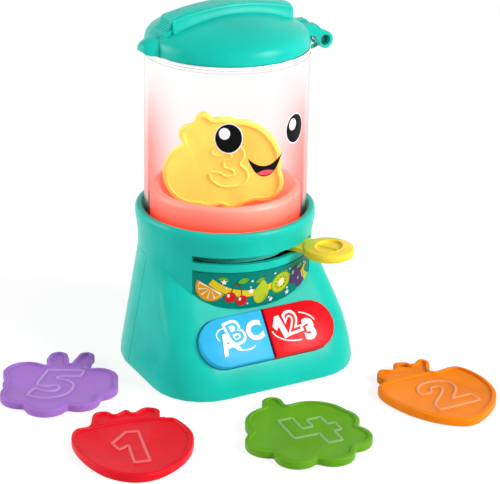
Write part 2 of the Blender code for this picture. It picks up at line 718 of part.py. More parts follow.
def build_main_housing(teal, tools):
    housing = housing_shell("main_housing", teal, tools)
    reach = BODY_FRONT + OVERRUN
    rear = block((-reach, 0.0, -OVERRUN), (reach, reach, SEAM_HEIGHT))
    cut(housing, add_tool("rear_half_cutter", rear))
    opening = stadium(BUTTON_HALF_LENGTH + RUNNING_GAP, BUTTON_HALF_HEIGHT + RUNNING_GAP, None, None)
    depth = BUTTON_FLANGE_DEPTH + OVERRUN
    cut(housing, add_tool("button_opening_cutter", prism(opening, -depth, BUTTON_PROUD), on_panel()))
    plate_top = PLATE_BOTTOM + PLATE_THICKNESS
    for index, angle in enumerate(POST_ANGLES):
        x, y = polar(POST_CIRCLE, angle)
        top = LEDGE_BOTTOM + LEDGE_THICKNESS / 2
        post = rod(POST_RADIUS, plate_top + GAP, top, 12)
        join(housing, add_tool(f"gear_post_{index}", post, shifted(x, y)))
        hole = rod(SCREW_RADIUS + GAP, plate_top, plate_top + SCREW_LENGTH / 2, 8)
        cut(housing, add_tool(f"gear_post_hole_{index}", hole, shifted(x, y)))
    for index, place in enumerate(boss_places()):
        if place[1] < 0.0:
            join(housing, boss(index, place, tools))
            hole = rod(SCREW_RADIUS + GAP, -OVERRUN, SCREW_LENGTH + PLATE_FLOOR, 8)
            cut(housing, add_tool(f"boss_hole_{index}", hole, shifted(*place)))
    for index, (x, y) in enumerate(board_post_places()):
        post = rod(BOARD_POST_RADIUS, -board_depth() + GAP, 0.0, 10)
        post = add_tool(f"board_post_{index}", post, on_panel() @ shifted(x, y))
        keep_inside(post, tools["middle"])
        join(housing, post)
    return housing


def board_depth():
    """How far the button board's upper face lies below the panel's outside."""
    pressed = BUTTON_FLANGE_DEPTH + BUTTON_FLANGE_THICKNESS + PLUNGER_LENGTH + BUTTON_TRAVEL
    return pressed + GAP + DOME_HEIGHT + GAP


def board_post_places():
    side = BUTTON_HALF_LENGTH + BUTTON_FLANGE + RUNNING_GAP + 1.5 * BOARD_POST_RADIUS
    return [(x, y) for x in (-side, side) for y in (-BOARD_POST_RISE, BOARD_POST_RISE)]


def build_rear_cover(teal, tools):
    cover = housing_shell("rear_cover", teal, tools)
    reach = BODY_FRONT + OVERRUN
    half = block((-reach, GAP, -OVERRUN), (reach, reach, SEAM_HEIGHT - GAP))
    keep_inside(cover, add_tool("rear_half_form", half))
    for index, place in enumerate(boss_places()):
        if place[1] > 0.0:
            join(cover, boss(index, place, tools))
            hole = rod(SCREW_RADIUS + GAP, -OVERRUN, SCREW_LENGTH + PLATE_FLOOR, 8)
            cut(cover, add_tool(f"boss_hole_{index}", hole, shifted(*place)))
    ring_inner = SPEAKER_RADIUS - SPEAKER_RIM
    ring = tube(ring_inner, ring_inner + SPEAKER_RING_WALL, 0.0, BODY_BACK - SPEAKER_Y, 24)
    ring = add_tool("speaker_ring", ring, facing_back(0.0, SPEAKER_Y + GAP, SPEAKER_Z))
    keep_inside(ring, tools["middle"])
    join(cover, ring)
    first = -GRILLE_PITCH * (GRILLE_SLOTS - 1) / 2
    for index in range(GRILLE_SLOTS):
        x = first + GRILLE_PITCH * index
        half_height = math.sqrt(GRILLE_HALF_HEIGHT ** 2 - x * x)
        slot = block(
            (x - GRILLE_SLOT_WIDTH / 2, SPEAKER_Y + SPEAKER_RIM / 2, SPEAKER_Z - half_height),
            (x + GRILLE_SLOT_WIDTH / 2, BODY_BACK + OVERRUN, SPEAKER_Z + half_height),
        )
        cut(cover, add_tool(f"grille_cutter_{index}", slot))
    wide, high = SWITCH_POCKET_HALF_WIDTH, SWITCH_POCKET_HALF_HEIGHT
    pad = block(
        (-wide - BODY_WALL, SWITCH_PAD_BACK, SWITCH_Z - high - BODY_WALL),
        (wide + BODY_WALL, BODY_BACK, SWITCH_Z + high + BODY_WALL),
    )
    pad = add_tool("switch_pad", pad)
    keep_inside(pad, tools["middle"])
    join(cover, pad)
    pocket = block((-wide, SWITCH_POCKET_Y, SWITCH_Z - high), (wide, BODY_BACK + OVERRUN, SWITCH_Z + high))
    cut(cover, add_tool("switch_pocket_cutter", pocket))
    across = SWITCH_TRAVEL / 2 + SWITCH_STEM_HALF_WIDTH + RUNNING_GAP
    up = SWITCH_STEM_HALF_HEIGHT + RUNNING_GAP
    window = block((-across, SWITCH_PAD_BACK - OVERRUN, SWITCH_Z - up), (across, BODY_BACK, SWITCH_Z + up))
    cut(cover, add_tool("switch_window_cutter", window))
    return cover


def build_power_switch(dark):
    rest = -SWITCH_TRAVEL / 2
    face = SWITCH_POCKET_Y + GAP
    knob = add_object(
        "power_switch_knob",
        block(
            (rest - SWITCH_KNOB_HALF_WIDTH, face, SWITCH_Z - SWITCH_KNOB_HALF_HEIGHT),
            (
                rest + SWITCH_KNOB_HALF_WIDTH,
                face + SWITCH_KNOB_THICKNESS,
                SWITCH_Z + SWITCH_KNOB_HALF_HEIGHT,
            ),
        ),
        dark,
        (rest, face, SWITCH_Z),
    )
    stem = block(
        (rest - SWITCH_STEM_HALF_WIDTH, SWITCH_PAD_BACK - GAP, SWITCH_Z - SWITCH_STEM_HALF_HEIGHT),
        (
            rest + SWITCH_STEM_HALF_WIDTH,
            face + SWITCH_KNOB_THICKNESS / 2,
            SWITCH_Z + SWITCH_STEM_HALF_HEIGHT,
        ),
    )
    join(knob, add_tool("switch_stem", stem))
    back = SWITCH_PAD_BACK - 2 * GAP
    body = block(
        (-SWITCH_BODY_HALF_WIDTH, back - SWITCH_BODY_DEPTH, SWITCH_Z - SWITCH_BODY_HALF_HEIGHT),
        (SWITCH_BODY_HALF_WIDTH, back, SWITCH_Z + SWITCH_BODY_HALF_HEIGHT),
    )
    add_object("power_switch_body", body, dark)


def build_speaker(dark, steel, paper):
    """The speaker faces the grille: frame, cone and magnet on one axis."""
    rim, depth = SPEAKER_RIM, SPEAKER_DEPTH
    throat = MAGNET_RADIUS - rim
    frame = (
        (SPEAKER_RADIUS, 0.0), (SPEAKER_RADIUS, -rim / 2), (SPEAKER_RADIUS - rim, -rim),
        (MAGNET_RADIUS, -depth), (throat, -depth), (throat, rim - depth),
        (SPEAKER_RADIUS - 1.5 * rim, -rim / 2), (SPEAKER_RADIUS - 1.5 * rim, 0.0),
    )
    place = facing_back(0.0, SPEAKER_Y, SPEAKER_Z)
    add_object("speaker_frame", turned(frame, 24, closed=True), dark, matrix=place)
    edge = SPEAKER_RADIUS - 1.5 * rim - GAP
    low = rim - depth + GAP
    cone = (
        (0.0, low + rim), (throat - GAP, low + rim / 2), (edge, 0.0), (edge, -rim / 3), (throat - GAP, low),
    )
    add_object("speaker_cone", turned(cone, 24, closed=False), paper, matrix=place)
    magnet = rod(MAGNET_RADIUS, -depth - GAP - MAGNET_DEPTH, -depth - GAP, 24)
    add_object("speaker_magnet", magnet, steel, matrix=place)


def tray_size():
    """Inside half length, half width and ceiling of the battery tray."""
    half_length = BATTERY_LENGTH / 2 + CONTACT_ROOM
    half_width = BATTERY_SPACING * (BATTERY_COUNT - 1) / 2 + BATTERY_RADIUS + RUNNING_GAP
    ceiling = door_top() + GAP + 2 * BATTERY_RADIUS + TRAY_HEADROOM
    return half_length, half_width, ceiling


def door_top():
    return DOOR_INSET + DOOR_THICKNESS


def build_base_plate(teal):
    outline = body_section(FOOT_RIM_HEIGHT, FOOT_RIM + GAP)
    plate = add_object("base_plate", prism(outline, 0.0, PLATE_FLOOR), teal)
    long, wide, ceiling = tray_size()
    y = BATTERY_CENTRE_Y
    tray = block(
        (-long - TRAY_WALL, y - wide - TRAY_WALL, PLATE_FLOOR / 2),
        (long + TRAY_WALL, y + wide + TRAY_WALL, ceiling + TRAY_WALL),
    )
    join(plate, add_tool("tray_form", tray))
    cut(plate, add_tool("tray_cutter", block((-long, y - wide, -OVERRUN), (long, y + wide, ceiling))))
    lip = DOOR_LIP
    seat = block((-long - lip, y - wide - lip, -OVERRUN), (long + lip, y + wide + lip, door_top() + GAP))
    cut(plate, add_tool("door_seat_cutter", seat))
    screw_x = door_screw_place()
    post = rod(BOSS_RADIUS, door_top() + GAP, DOOR_BOSS_TOP, 12)
    join(plate, add_tool("door_boss", post, shifted(screw_x, y)))
    reach = long + DOOR_TAB_REACH
    wide_tab = DOOR_TAB_HALF_WIDTH
    tab_seat = block((long, y - wide_tab, -OVERRUN), (reach, y + wide_tab, door_top() + GAP))
    cut(plate, add_tool("door_tab_cutter", tab_seat))
    hole = rod(SCREW_RADIUS + GAP, -OVERRUN, SCREW_HEAD_HEIGHT + DOOR_SCREW_LENGTH + 2 * GAP, 10)
    cut(plate, add_tool("door_boss_hole", hole, shifted(screw_x, y)))
    for index, (x, y) in enumerate(boss_places()):
        cut(plate, add_tool(f"plate_hole_{index}", screw_hole(PLATE_FLOOR), shifted(x, y)))
    return plate


def door_screw_place():
    """How far along X the battery door's screw stands."""
    return tray_size()[0] + DOOR_TAB_REACH - BOSS_RADIUS - GAP


def screw_hole(thickness):
    """A stepped hole: the head sits in a counterbore from below."""
    neck, head = SCREW_RADIUS + GAP, SCREW_HEAD_RADIUS + GAP
    step = DOOR_INSET + SCREW_HEAD_HEIGHT + GAP
    profile = ((neck, thickness + OVERRUN), (neck, step), (head, step), (head, -OVERRUN))
    return turned(profile, 10, closed=False)


def screw(length):
    """A pan-head screw that points up, with its head's underside in the XY plane at its height."""
    low = DOOR_INSET
    step = low + SCREW_HEAD_HEIGHT
    profile = (
        (SCREW_HEAD_RADIUS, low), (SCREW_HEAD_RADIUS, step), (SCREW_RADIUS, step),
        (SCREW_RADIUS, step + length - SCREW_RADIUS), (0.0, step + length),
    )
    return turned(profile, 10, closed=False)


def build_base_screws(steel):
    for index, (x, y) in enumerate(boss_places()):
        add_object(f"base_screw_{index + 1}", screw(SCREW_LENGTH), steel, matrix=shifted(x, y))


def build_battery_door(teal, steel):
    long, wide = tray_size()[:2]
    margin = DOOR_LIP - GAP
    y = BATTERY_CENTRE_Y
    door = add_object(
        "battery_door",
        block(
            (-long - margin, y - wide - margin, DOOR_INSET),
            (long + margin, y + wide + margin, door_top()),
        ),
        teal,
    )
    reach = long + DOOR_TAB_REACH - GAP
    wide_tab = DOOR_TAB_HALF_WIDTH - GAP
    tab = block((long - DOOR_LIP, y - wide_tab, DOOR_INSET), (reach, y + wide_tab, door_top()))
    join(door, add_tool("door_tab", tab))
    place = shifted(door_screw_place(), y)
    cut(door, add_tool("door_screw_hole", screw_hole(DOOR_THICKNESS), place))
    add_object("battery_door_screw", screw(DOOR_SCREW_LENGTH), steel, matrix=place)
    return door


def build_batteries(steel, shell_material):
    """Three cells side by side, each turned round against its neighbour, between two contact plates."""
    long, wide, ceiling = tray_size()
    bottom = door_top() + GAP
    first = BATTERY_CENTRE_Y - BATTERY_SPACING * (BATTERY_COUNT - 1) / 2
    half = BATTERY_LENGTH / 2
    profile = (
        (BATTERY_RADIUS, -half), (BATTERY_RADIUS, half - BATTERY_TIP_LENGTH),
        (BATTERY_TIP_RADIUS, half - BATTERY_TIP_LENGTH), (BATTERY_TIP_RADIUS, half),
    )
    for index in range(BATTERY_COUNT):
        y = first + BATTERY_SPACING * index
        turn = math.pi / 2 if index % 2 == 0 else -math.pi / 2
        place = Matrix.Translation((0.0, y, bottom + BATTERY_RADIUS)) @ Matrix.Rotation(turn, 4, "Y")
        add_object(f"battery_{index + 1}", turned(profile, 16, closed=False), shell_material, matrix=place)
    for name, side in (("contact_plate_left", -1), ("contact_plate_right", 1)):
        outer = side * (long - GAP)
        inner = outer - side * CONTACT_THICKNESS
        low = (min(outer, inner), BATTERY_CENTRE_Y - wide + GAP, bottom)
        high = (max(outer, inner), BATTERY_CENTRE_Y + wide - GAP, ceiling - GAP)
        plate = add_object(name, block(low, high), steel)
        for index in range(BATTERY_COUNT):
            y = first + BATTERY_SPACING * index
            reach = long - half - 2 * GAP
            spring = ((BATTERY_RADIUS - GAP - RUNNING_GAP, 0.0), (BATTERY_TIP_RADIUS, reach))
            turn = Matrix.Rotation(-side * math.pi / 2, 4, "Y")
            middle = (outer - side * CONTACT_THICKNESS / 2, y, bottom + BATTERY_RADIUS)
            form = turned(spring, 10, closed=False)
            join(plate, add_tool(f"{name}_spring_{index}", form, Matrix.Translation(middle) @ turn))


def build_label(print_material):
    """The printed panel lies in the recess under the slot and follows its lean."""
    half_angle = SLOT_HALF_ANGLE - LABEL_MARGIN / NECK_RADIUS
    start = NECK_RADIUS - RECESS_DEPTH + GAP
    top = RECESS_TOP - LABEL_MARGIN
    angles = sector_angles(half_angle)
    rings = []
    for level in range(SECTOR_LEVELS + 1):
        inner_row, outer_row = [], []
        for angle in angles:
            height = recess_heights(label_foot(angle) + LABEL_MARGIN, top)[level]
            inner_row.append((*polar(recess_radius(angle, height, start), angle), height))
            outer_row.append((*polar(recess_radius(angle, height, start + LABEL_THICKNESS), angle), height))
        rings.append(inner_row + list(reversed(outer_row)))
    return add_object("label_panel", loft(rings), print_material)


def label_foot(angle):
    """Where the recess meets the sloping panel at one angle."""
    start = NECK_RADIUS - RECESS_DEPTH
    low, high = RECESS_FOOT - OVERRUN, RECESS_TOP
    while high - low > FINE:
        middle = (low + high) / 2
        x, y = polar(recess_radius(angle, middle, start), angle)
        if y < body_front(x, middle):
            high = middle
        else:
            low = middle
    return high


def build_jar(clear):
    foot = jar_foot()
    draft = JAR_TOP_RADIUS - JAR_FOOT_RADIUS
    bead = JAR_TOP - JAR_BEAD_HEIGHT
    ease = JAR_WALL / 4
    profile = (
        (JAR_FOOT_RADIUS, foot),
        (JAR_FOOT_RADIUS - JAR_WALL, foot),
        (JAR_TOP_RADIUS - JAR_WALL, JAR_TOP - ease),
        (JAR_TOP_RADIUS - JAR_WALL + ease, JAR_TOP),
        (JAR_TOP_RADIUS + JAR_BEAD - ease, JAR_TOP),
        (JAR_TOP_RADIUS + JAR_BEAD, JAR_TOP - ease),
        (JAR_TOP_RADIUS + JAR_BEAD, bead),
        (JAR_TOP_RADIUS - draft * JAR_BEAD_HEIGHT / (JAR_TOP - foot), bead - JAR_BEAD),
    )
    turn = Matrix.Rotation(NECK_TURN, 4, "Z")
    jar = add_object("jar", turned(profile, JAR_STEPS, closed=True), clear, matrix=turn)
    wall = JAR_TOP_RADIUS - JAR_WALL / 2
    arc = [
        (HINGE_X + LUG_RADIUS * math.sin(t), HINGE_Z + LUG_RADIUS * math.cos(t))
        for t in [math.pi * i / 8 for i in range(9)]
    ]
    outline = [(wall, HINGE_Z + LUG_RADIUS / 3), (HINGE_X - LUG_RADIUS, HINGE_Z + LUG_RADIUS / 3)] + arc
    outline.append((wall, HINGE_Z - LUG_DROP))
    rings = [[(x, y, z) for x, z in outline] for y in (-LUG_HALF_WIDTH, LUG_HALF_WIDTH)]
    join(jar, add_tool("hinge_lug", loft(rings)))
    bore = rod(HINGE_PIN_RADIUS + GAP, -BARREL_HALF_LENGTH, BARREL_HALF_LENGTH, 20)
    cut(jar, add_tool("lug_bore_cutter", bore, along_y(HINGE_X, HINGE_Z)))
    return jar


def jar_floor_bottom():
    return LEDGE_BOTTOM + LEDGE_THICKNESS + GAP


def jar_foot():
    return jar_floor_bottom() + FLOOR_THICKNESS + GAP


def lid_bottom():
    return JAR_TOP + GAP


def dome_height(radius):
    """Height of the dome's outside at a distance from the axis."""
    points = [(LID_RADIUS * out, lid_bottom() + LID_HEIGHT * up) for out, up in LID_DOME_SHARES[2:]]
    for (r0, z0), (r1, z1) in zip(points[:-1], points[1:]):
        if r1 <= radius <= r0:
            return z0 + (z1 - z0) * (r0 - radius) / (r0 - r1)
    return points[0][1]


def build_lid(teal):
    """Domed lid with a raised bar, a pouring tab and two hinge knuckles."""
    bottom = lid_bottom()
    outer = [(LID_RADIUS * out, bottom + LID_HEIGHT * up) for out, up in LID_DOME_SHARES]
    scale = (LID_RADIUS - LID_WALL) / LID_RADIUS
    inner = [(radius * scale, height - LID_WALL) for radius, height in reversed(outer[3:])]
    ring_in = LID_RING_RADIUS - LID_RING_WALL
    shoulder = bottom + LID_WALL
    ring = [
        (ring_in, shoulder), (ring_in, bottom - LID_RING_DEPTH),
        (LID_RING_RADIUS, bottom - LID_RING_DEPTH), (LID_RING_RADIUS, bottom),
    ]
    profile = list(reversed(outer)) + list(reversed(ring)) + list(reversed(inner))
    pivot = (HINGE_X, 0.0, HINGE_Z)
    lid_turn = Matrix.Rotation(NECK_TURN, 4, "Z")
    lid = add_object("lid", turned(profile, LID_STEPS, closed=False), teal, pivot, lid_turn)
    join(lid, add_tool("lid_rib", rib_form()))
    join(lid, add_tool("lid_grip", grip_form()))
    join(lid, add_tool("lid_tab", tab_form()))
    bore = rod(HINGE_PIN_RADIUS + GAP, -BARREL_HALF_LENGTH - OVERRUN, BARREL_HALF_LENGTH + OVERRUN, 20)
    bore_tool = add_tool("knuckle_bore_cutter", bore, along_y(HINGE_X, HINGE_Z))
    inner_y = LUG_HALF_WIDTH + RUNNING_GAP
    for index, (low, high) in enumerate(((inner_y, BARREL_HALF_LENGTH), (-BARREL_HALF_LENGTH, -inner_y))):
        join(lid, add_tool(f"lid_knuckle_{index}", knuckle_form(low, high)))
    cut(lid, bore_tool)
    return lid


def knuckle_form(low, high):
    """A barrel end and the arm that carries it, as one outline in XZ."""
    arc = [
        (HINGE_X + BARREL_RADIUS * math.sin(t), HINGE_Z + BARREL_RADIUS * math.cos(t))
        for t in [math.radians(200) * i / 12 - math.radians(10) for i in range(13)]
    ]
    root = LID_RADIUS - 0.85 * LID_WALL
    under = lid_bottom() + LID_WALL / 4
    top = under + ARM_THICKNESS
    inner = (HINGE_X - BARREL_RADIUS, HINGE_Z)
    neck = (HINGE_X - 1.3 * BARREL_RADIUS, under)
    outline = [(root, under), (root, top), (HINGE_X - 1.2 * BARREL_RADIUS, top)] + arc + [inner, neck]
    rings = [[(x, y, z) for x, z in outline] for y in (low, high)]
    return loft(rings)


def rib_top(x):
    """The bar's arched top line."""
    middle = (RIB_LEFT + RIB_RIGHT) / 2
    share = (x - middle) / ((RIB_RIGHT - RIB_LEFT) / 2)
    end = dome_height(abs(RIB_RIGHT)) + RIB_END_RISE
    peak = dome_height(0.0) + RIB_RISE
    return peak + (end - peak) * share * share


def rib_form():
    rings = []
    wide, edge = RIB_HALF_WIDTH, RIB_EDGE
    for i in range(RIB_STATIONS + 1):
        x = RIB_LEFT + (RIB_RIGHT - RIB_LEFT) * i / RIB_STATIONS
        top = rib_top(x)
        foot = dome_height(abs(x)) - RIB_SINK
        section = (
            (-wide, foot), (wide, foot), (wide, top - edge), (wide - edge / 3, top - edge / 3),
            (wide - edge, top), (edge - wide, top), (edge / 3 - wide, top - edge / 3), (-wide, top - edge),
        )
        rings.append([(x, y, z) for y, z in section])
    return loft(rings)


def grip_form():
    """The low block at the free end of the bar."""
    left, right = RIB_LEFT - GRIP_LENGTH, RIB_LEFT + RIB_EDGE
    rings = []
    for i in range(5):
        x = left + (right - left) * i / 4
        radius = min(math.hypot(x, GRIP_HALF_WIDTH), LID_RADIUS)
        top = dome_height(abs(x)) + GRIP_RISE
        foot = dome_height(radius) - RIB_SINK / 2
        wide = GRIP_HALF_WIDTH
        rings.append([(x, -wide, foot), (x, wide, foot), (x, wide, top), (x, -wide, top)])
    return loft(rings)


def tab_form():
    """A rounded pouring tab that tapers to a blunt tip."""
    rings = []
    floor = lid_bottom() + LID_WALL / 6
    for along, wide, high, lift in TAB_SHARES:
        x = -(TAB_ROOT + (TAB_REACH - TAB_ROOT) * along)
        low = floor + TAB_LIFT * lift
        ring = []
        for i in range(TAB_STEPS + 1):
            turn = math.pi * i / TAB_STEPS
            y = TAB_HALF_WIDTH * wide * math.cos(turn)
            ring.append((x, y, low + TAB_HEIGHT * high * math.sin(turn)))
        rings.append(ring)
    return loft(rings)


def build_hinge_pin(steel):
    half = BARREL_HALF_LENGTH - HINGE_PIN_INSET
    pin = rod(HINGE_PIN_RADIUS, -half, half, 20)
    add_object("hinge_pin", pin, steel, (HINGE_X, 0.0, HINGE_Z), along_y(HINGE_X, HINGE_Z))


def build_jar_floor(clear, dark):
    bottom = jar_floor_bottom()
    top = bottom + FLOOR_THICKNESS
    bush_outer = SHAFT_RADIUS + RUNNING_GAP + BUSH_WALL
    disc = tube(bush_outer + GAP, JAR_FOOT_RADIUS - GAP, bottom, top, JAR_STEPS)
    floor = add_object("jar_floor", disc, clear)
    drop = (LIGHT_BOARD_OUTER + LIGHT_BOARD_INNER) / 2
    for index, angle in enumerate(LIGHT_ANGLES):
        x, y = polar(drop, angle + math.pi / 4)
        peg = rod(POST_RADIUS / 2, light_board_top() + GAP, bottom + FLOOR_THICKNESS / 2, 8)
        join(floor, add_tool(f"floor_peg_{index}", peg, shifted(x, y)))
    inner = SHAFT_RADIUS + RUNNING_GAP
    flange_low = bottom - GAP - BUSH_FLANGE
    profile = (
        (inner, flange_low),
        (bush_outer + BUSH_FLANGE, flange_low), (bush_outer + BUSH_FLANGE, bottom - GAP),
        (bush_outer, bottom - GAP), (bush_outer, top), (inner, top),
    )
    add_object("shaft_bush", turned(profile, 20, closed=True), dark)


def light_board_top():
    return LEDGE_BOTTOM + LEDGE_THICKNESS - LIGHT_HEIGHT - GAP


def build_light_board(board_green, white):
    top = light_board_top()
    ring = tube(LIGHT_BOARD_INNER, LIGHT_BOARD_OUTER, top - BOARD_THICKNESS, top, 36)
    add_object("light_board", ring, board_green)
    half = LIGHT_SIZE / 2
    for index, angle in enumerate(LIGHT_ANGLES):
        x, y = polar(LIGHT_CIRCLE, angle)
        low = top + GAP / 2
        lamp = block((x - half, y - half, low), (x + half, y + half, low + LIGHT_HEIGHT))
        add_object(f"light_{index + 1}", lamp, white)


def gear_outline(teeth, tooth_at):
    """A toothed outline with one tooth centred at the given angle."""
    pitch = GEAR_MODULE * teeth / 2
    tip = pitch + GEAR_MODULE * ADDENDUM_SHARE
    root = pitch - GEAR_MODULE * DEDENDUM_SHARE
    step = math.tau / teeth
    points = []
    for i in range(teeth):
        middle = tooth_at + step * i
        for radius, share in (
            (root, -ROOT_TOOTH_SHARE), (tip, -TIP_TOOTH_SHARE),
            (tip, TIP_TOOTH_SHARE), (root, ROOT_TOOTH_SHARE),
        ):
            points.append(polar(radius, middle + step * share / 2))
    return points


def build_gear_plate(dark, steel):
    top = PLATE_BOTTOM + PLATE_THICKNESS
    plate = add_object("gear_plate", rod(PLATE_RADIUS, PLATE_BOTTOM, top, 36), dark)
    boss_top = top + BEARING_HEIGHT / 2
    seats = (("shaft_seat", 0.0, SHAFT_RADIUS), ("idler_seat", GEAR_DISTANCE, IDLER_AXLE_RADIUS))
    seat_top = min(boss_top, LOWER_GEAR_BOTTOM - GAP)
    for name, place, radius in seats:
        outer = radius + RUNNING_GAP + BEARING_WALL
        bearing = rod(outer, PLATE_BOTTOM - BEARING_HEIGHT / 2, seat_top, 20)
        join(plate, add_tool(name, bearing, shifted(0.0, place)))
        bore = rod(radius + RUNNING_GAP, PLATE_BOTTOM, LOWER_GEAR_BOTTOM, 16)
        cut(plate, add_tool(f"{name}_bore", bore, shifted(0.0, place)))
    for index, angle in enumerate(POST_ANGLES):
        x, y = polar(POST_CIRCLE, angle)
        hole = rod(SCREW_RADIUS + GAP, PLATE_BOTTOM - OVERRUN, top + OVERRUN, 8)
        cut(plate, add_tool(f"plate_post_hole_{index}", hole, shifted(x, y)))
        place = shifted(x, y, PLATE_BOTTOM - DOOR_INSET - SCREW_HEAD_HEIGHT - GAP)
        add_object(f"gear_plate_screw_{index + 1}", screw(SCREW_LENGTH / 2), steel, matrix=place)
    return plate


def build_shaft(steel):
    bottom = PLATE_BOTTOM + GAP
    top = jar_foot() + BOWL_LIFT + SHAFT_IN_BOWL
    add_object("tumbler_shaft", rod(SHAFT_RADIUS, bottom, top, 20), steel)
    axle_top = light_board_top() - BOARD_THICKNESS - 2 * GAP
    axle_top = min(axle_top, LEVER_BOTTOM + LEVER_THICKNESS + GAP)
    axle = rod(IDLER_AXLE_RADIUS, bottom, axle_top, 12)
    add_object("idler_axle", axle, steel, matrix=shifted(0.0, GEAR_DISTANCE))


def build_pinion(gear_white):
    top = LOWER_GEAR_BOTTOM + LOWER_GEAR_THICKNESS
    step = math.tau / PINION_TEETH
    toothed = gear_outline(PINION_TEETH, math.pi / 2 + step / 2)
    pinion = add_object("tumbler_pinion", prism(toothed, LOWER_GEAR_BOTTOM, top), gear_white)
    bore = rod(SHAFT_RADIUS + GAP, LOWER_GEAR_BOTTOM - OVERRUN, top + OVERRUN, 20)
    cut(pinion, add_tool("pinion_bore", bore))


def build_idler(gear_white):
    """Compound gear: a wheel that drives the tumbler's pinion, under a pinion that the lever drives."""
    lower_top = LOWER_GEAR_BOTTOM + LOWER_GEAR_THICKNESS
    place = shifted(0.0, GEAR_DISTANCE)
    pivot = (0.0, GEAR_DISTANCE, LOWER_GEAR_BOTTOM)
    wheel = prism(gear_outline(WHEEL_TEETH, -math.pi / 2), LOWER_GEAR_BOTTOM, lower_top)
    idler = add_object("idler_gear", wheel, gear_white, pivot, place)
    step = math.tau / PINION_TEETH
    upper_teeth = gear_outline(PINION_TEETH, -math.pi / 2 + step / 2)
    upper_top = LEVER_BOTTOM + LEVER_THICKNESS
    upper = prism(upper_teeth, lower_top - LOWER_GEAR_THICKNESS / 2, upper_top)
    join(idler, add_tool("idler_pinion", upper, place))
    bore = rod(IDLER_AXLE_RADIUS + RUNNING_GAP, LOWER_GEAR_BOTTOM - OVERRUN, upper_top + OVERRUN, 12)
    cut(idler, add_tool("idler_bore", bore, place))


def lever_outline():
    """The lever's arm from the hub to the pad, along +X."""
    slot_in = NECK_RADIUS - 2 * NECK_WALL
    root, neck = LEVER_ROOT_HALF_WIDTH, LEVER_NECK_HALF_WIDTH
    start = SHAFT_RADIUS + RUNNING_GAP
    taper_start = slot_in * LEVER_TAPER_SHARE
    right = [(start, -root), (taper_start, -root), (slot_in, -neck), (PAD_CENTRE, -neck)]
    left = [(x, -y) for x, y in reversed(right)]
    return right + left


def build_lever(yellow):
    """Yellow lever: toothed hub on the shaft, arm through the slot and a round thumb pad."""
    top = LEVER_BOTTOM + LEVER_THICKNESS
    hub = prism(gear_outline(WHEEL_TEETH, math.pi / 2), LEVER_BOTTOM, top)
    lever = add_object("lever", hub, yellow)
    turn = Matrix.Rotation(LEVER_ANGLE, 4, "Z")
    sink = GAP / 2
    join(lever, add_tool("lever_arm", prism(lever_outline(), LEVER_BOTTOM + sink, top - sink), turn))
    boss_low = LOWER_GEAR_BOTTOM + LOWER_GEAR_THICKNESS + GAP
    boss_form = rod(SHAFT_RADIUS + RUNNING_GAP + BEARING_WALL, boss_low, top - sink, 20)
    join(lever, add_tool("lever_boss", boss_form))
    middle = (LEVER_BOTTOM + top) / 2
    half = PAD_THICKNESS / 2
    round_in = PAD_ROUNDING
    profile = (
        (PAD_RADIUS - round_in, -half), (PAD_RADIUS - round_in / 3, -half + round_in / 3),
        (PAD_RADIUS, -half + round_in), (PAD_RADIUS, half - round_in),
        (PAD_RADIUS - round_in / 3, half - round_in / 3), (PAD_RADIUS - round_in, half),
    )
    pad_place = turn @ shifted(PAD_CENTRE, 0.0, middle)
    join(lever, add_tool("lever_pad", turned(profile, 32, closed=False), pad_place))
    dish_x = PAD_RADIUS * PAD_DISH_WIDTH_SHARE
    dish_y = PAD_RADIUS * PAD_DISH_SHARE
    dish = [(dish_x * x, dish_y * y) for x, y in circle(1.0, 24)]
    cutter = prism(dish, half - PAD_DISH_DEPTH, half + OVERRUN)
    cut(lever, add_tool("pad_dish_cutter", cutter, pad_place))
    bore = rod(SHAFT_RADIUS + RUNNING_GAP, boss_low - OVERRUN, top + OVERRUN, 20)
    cut(lever, add_tool("lever_bore", bore))
    return lever


def build_shield(teal):
    """A drum wall behind the slot, clipped on the lever's arm, that keeps the slot closed as it swings."""
    top = LEVER_BOTTOM + LEVER_THICKNESS
    foot = LOWER_GEAR_BOTTOM + LOWER_GEAR_THICKNESS / 2
    outer = POST_CIRCLE - POST_RADIUS - 2 * RUNNING_GAP
    inner = outer - SHIELD_WALL
    middle = LEVER_ANGLE - (SHIELD_HALF_ANGLE - SLOT_HALF_ANGLE)
    angles = [middle + SHIELD_HALF_ANGLE * (2 * i / SHIELD_STEPS - 1) for i in range(SHIELD_STEPS + 1)]
    rings = []
    for height in (foot, top):
        near = [(*polar(inner, angle), height) for angle in angles]
        far = [(*polar(outer, angle), height) for angle in reversed(angles)]
        rings.append(near + far)
    shield = add_object("slot_shield", loft(rings), teal)
    wide = LEVER_NECK_HALF_WIDTH + GAP
    notch = block((inner - OVERRUN, -wide, LEVER_BOTTOM - GAP / 2), (outer + OVERRUN, wide, top + OVERRUN))
    cut(shield, add_tool("shield_notch_cutter", notch, Matrix.Rotation(LEVER_ANGLE, 4, "Z")))
    return shield


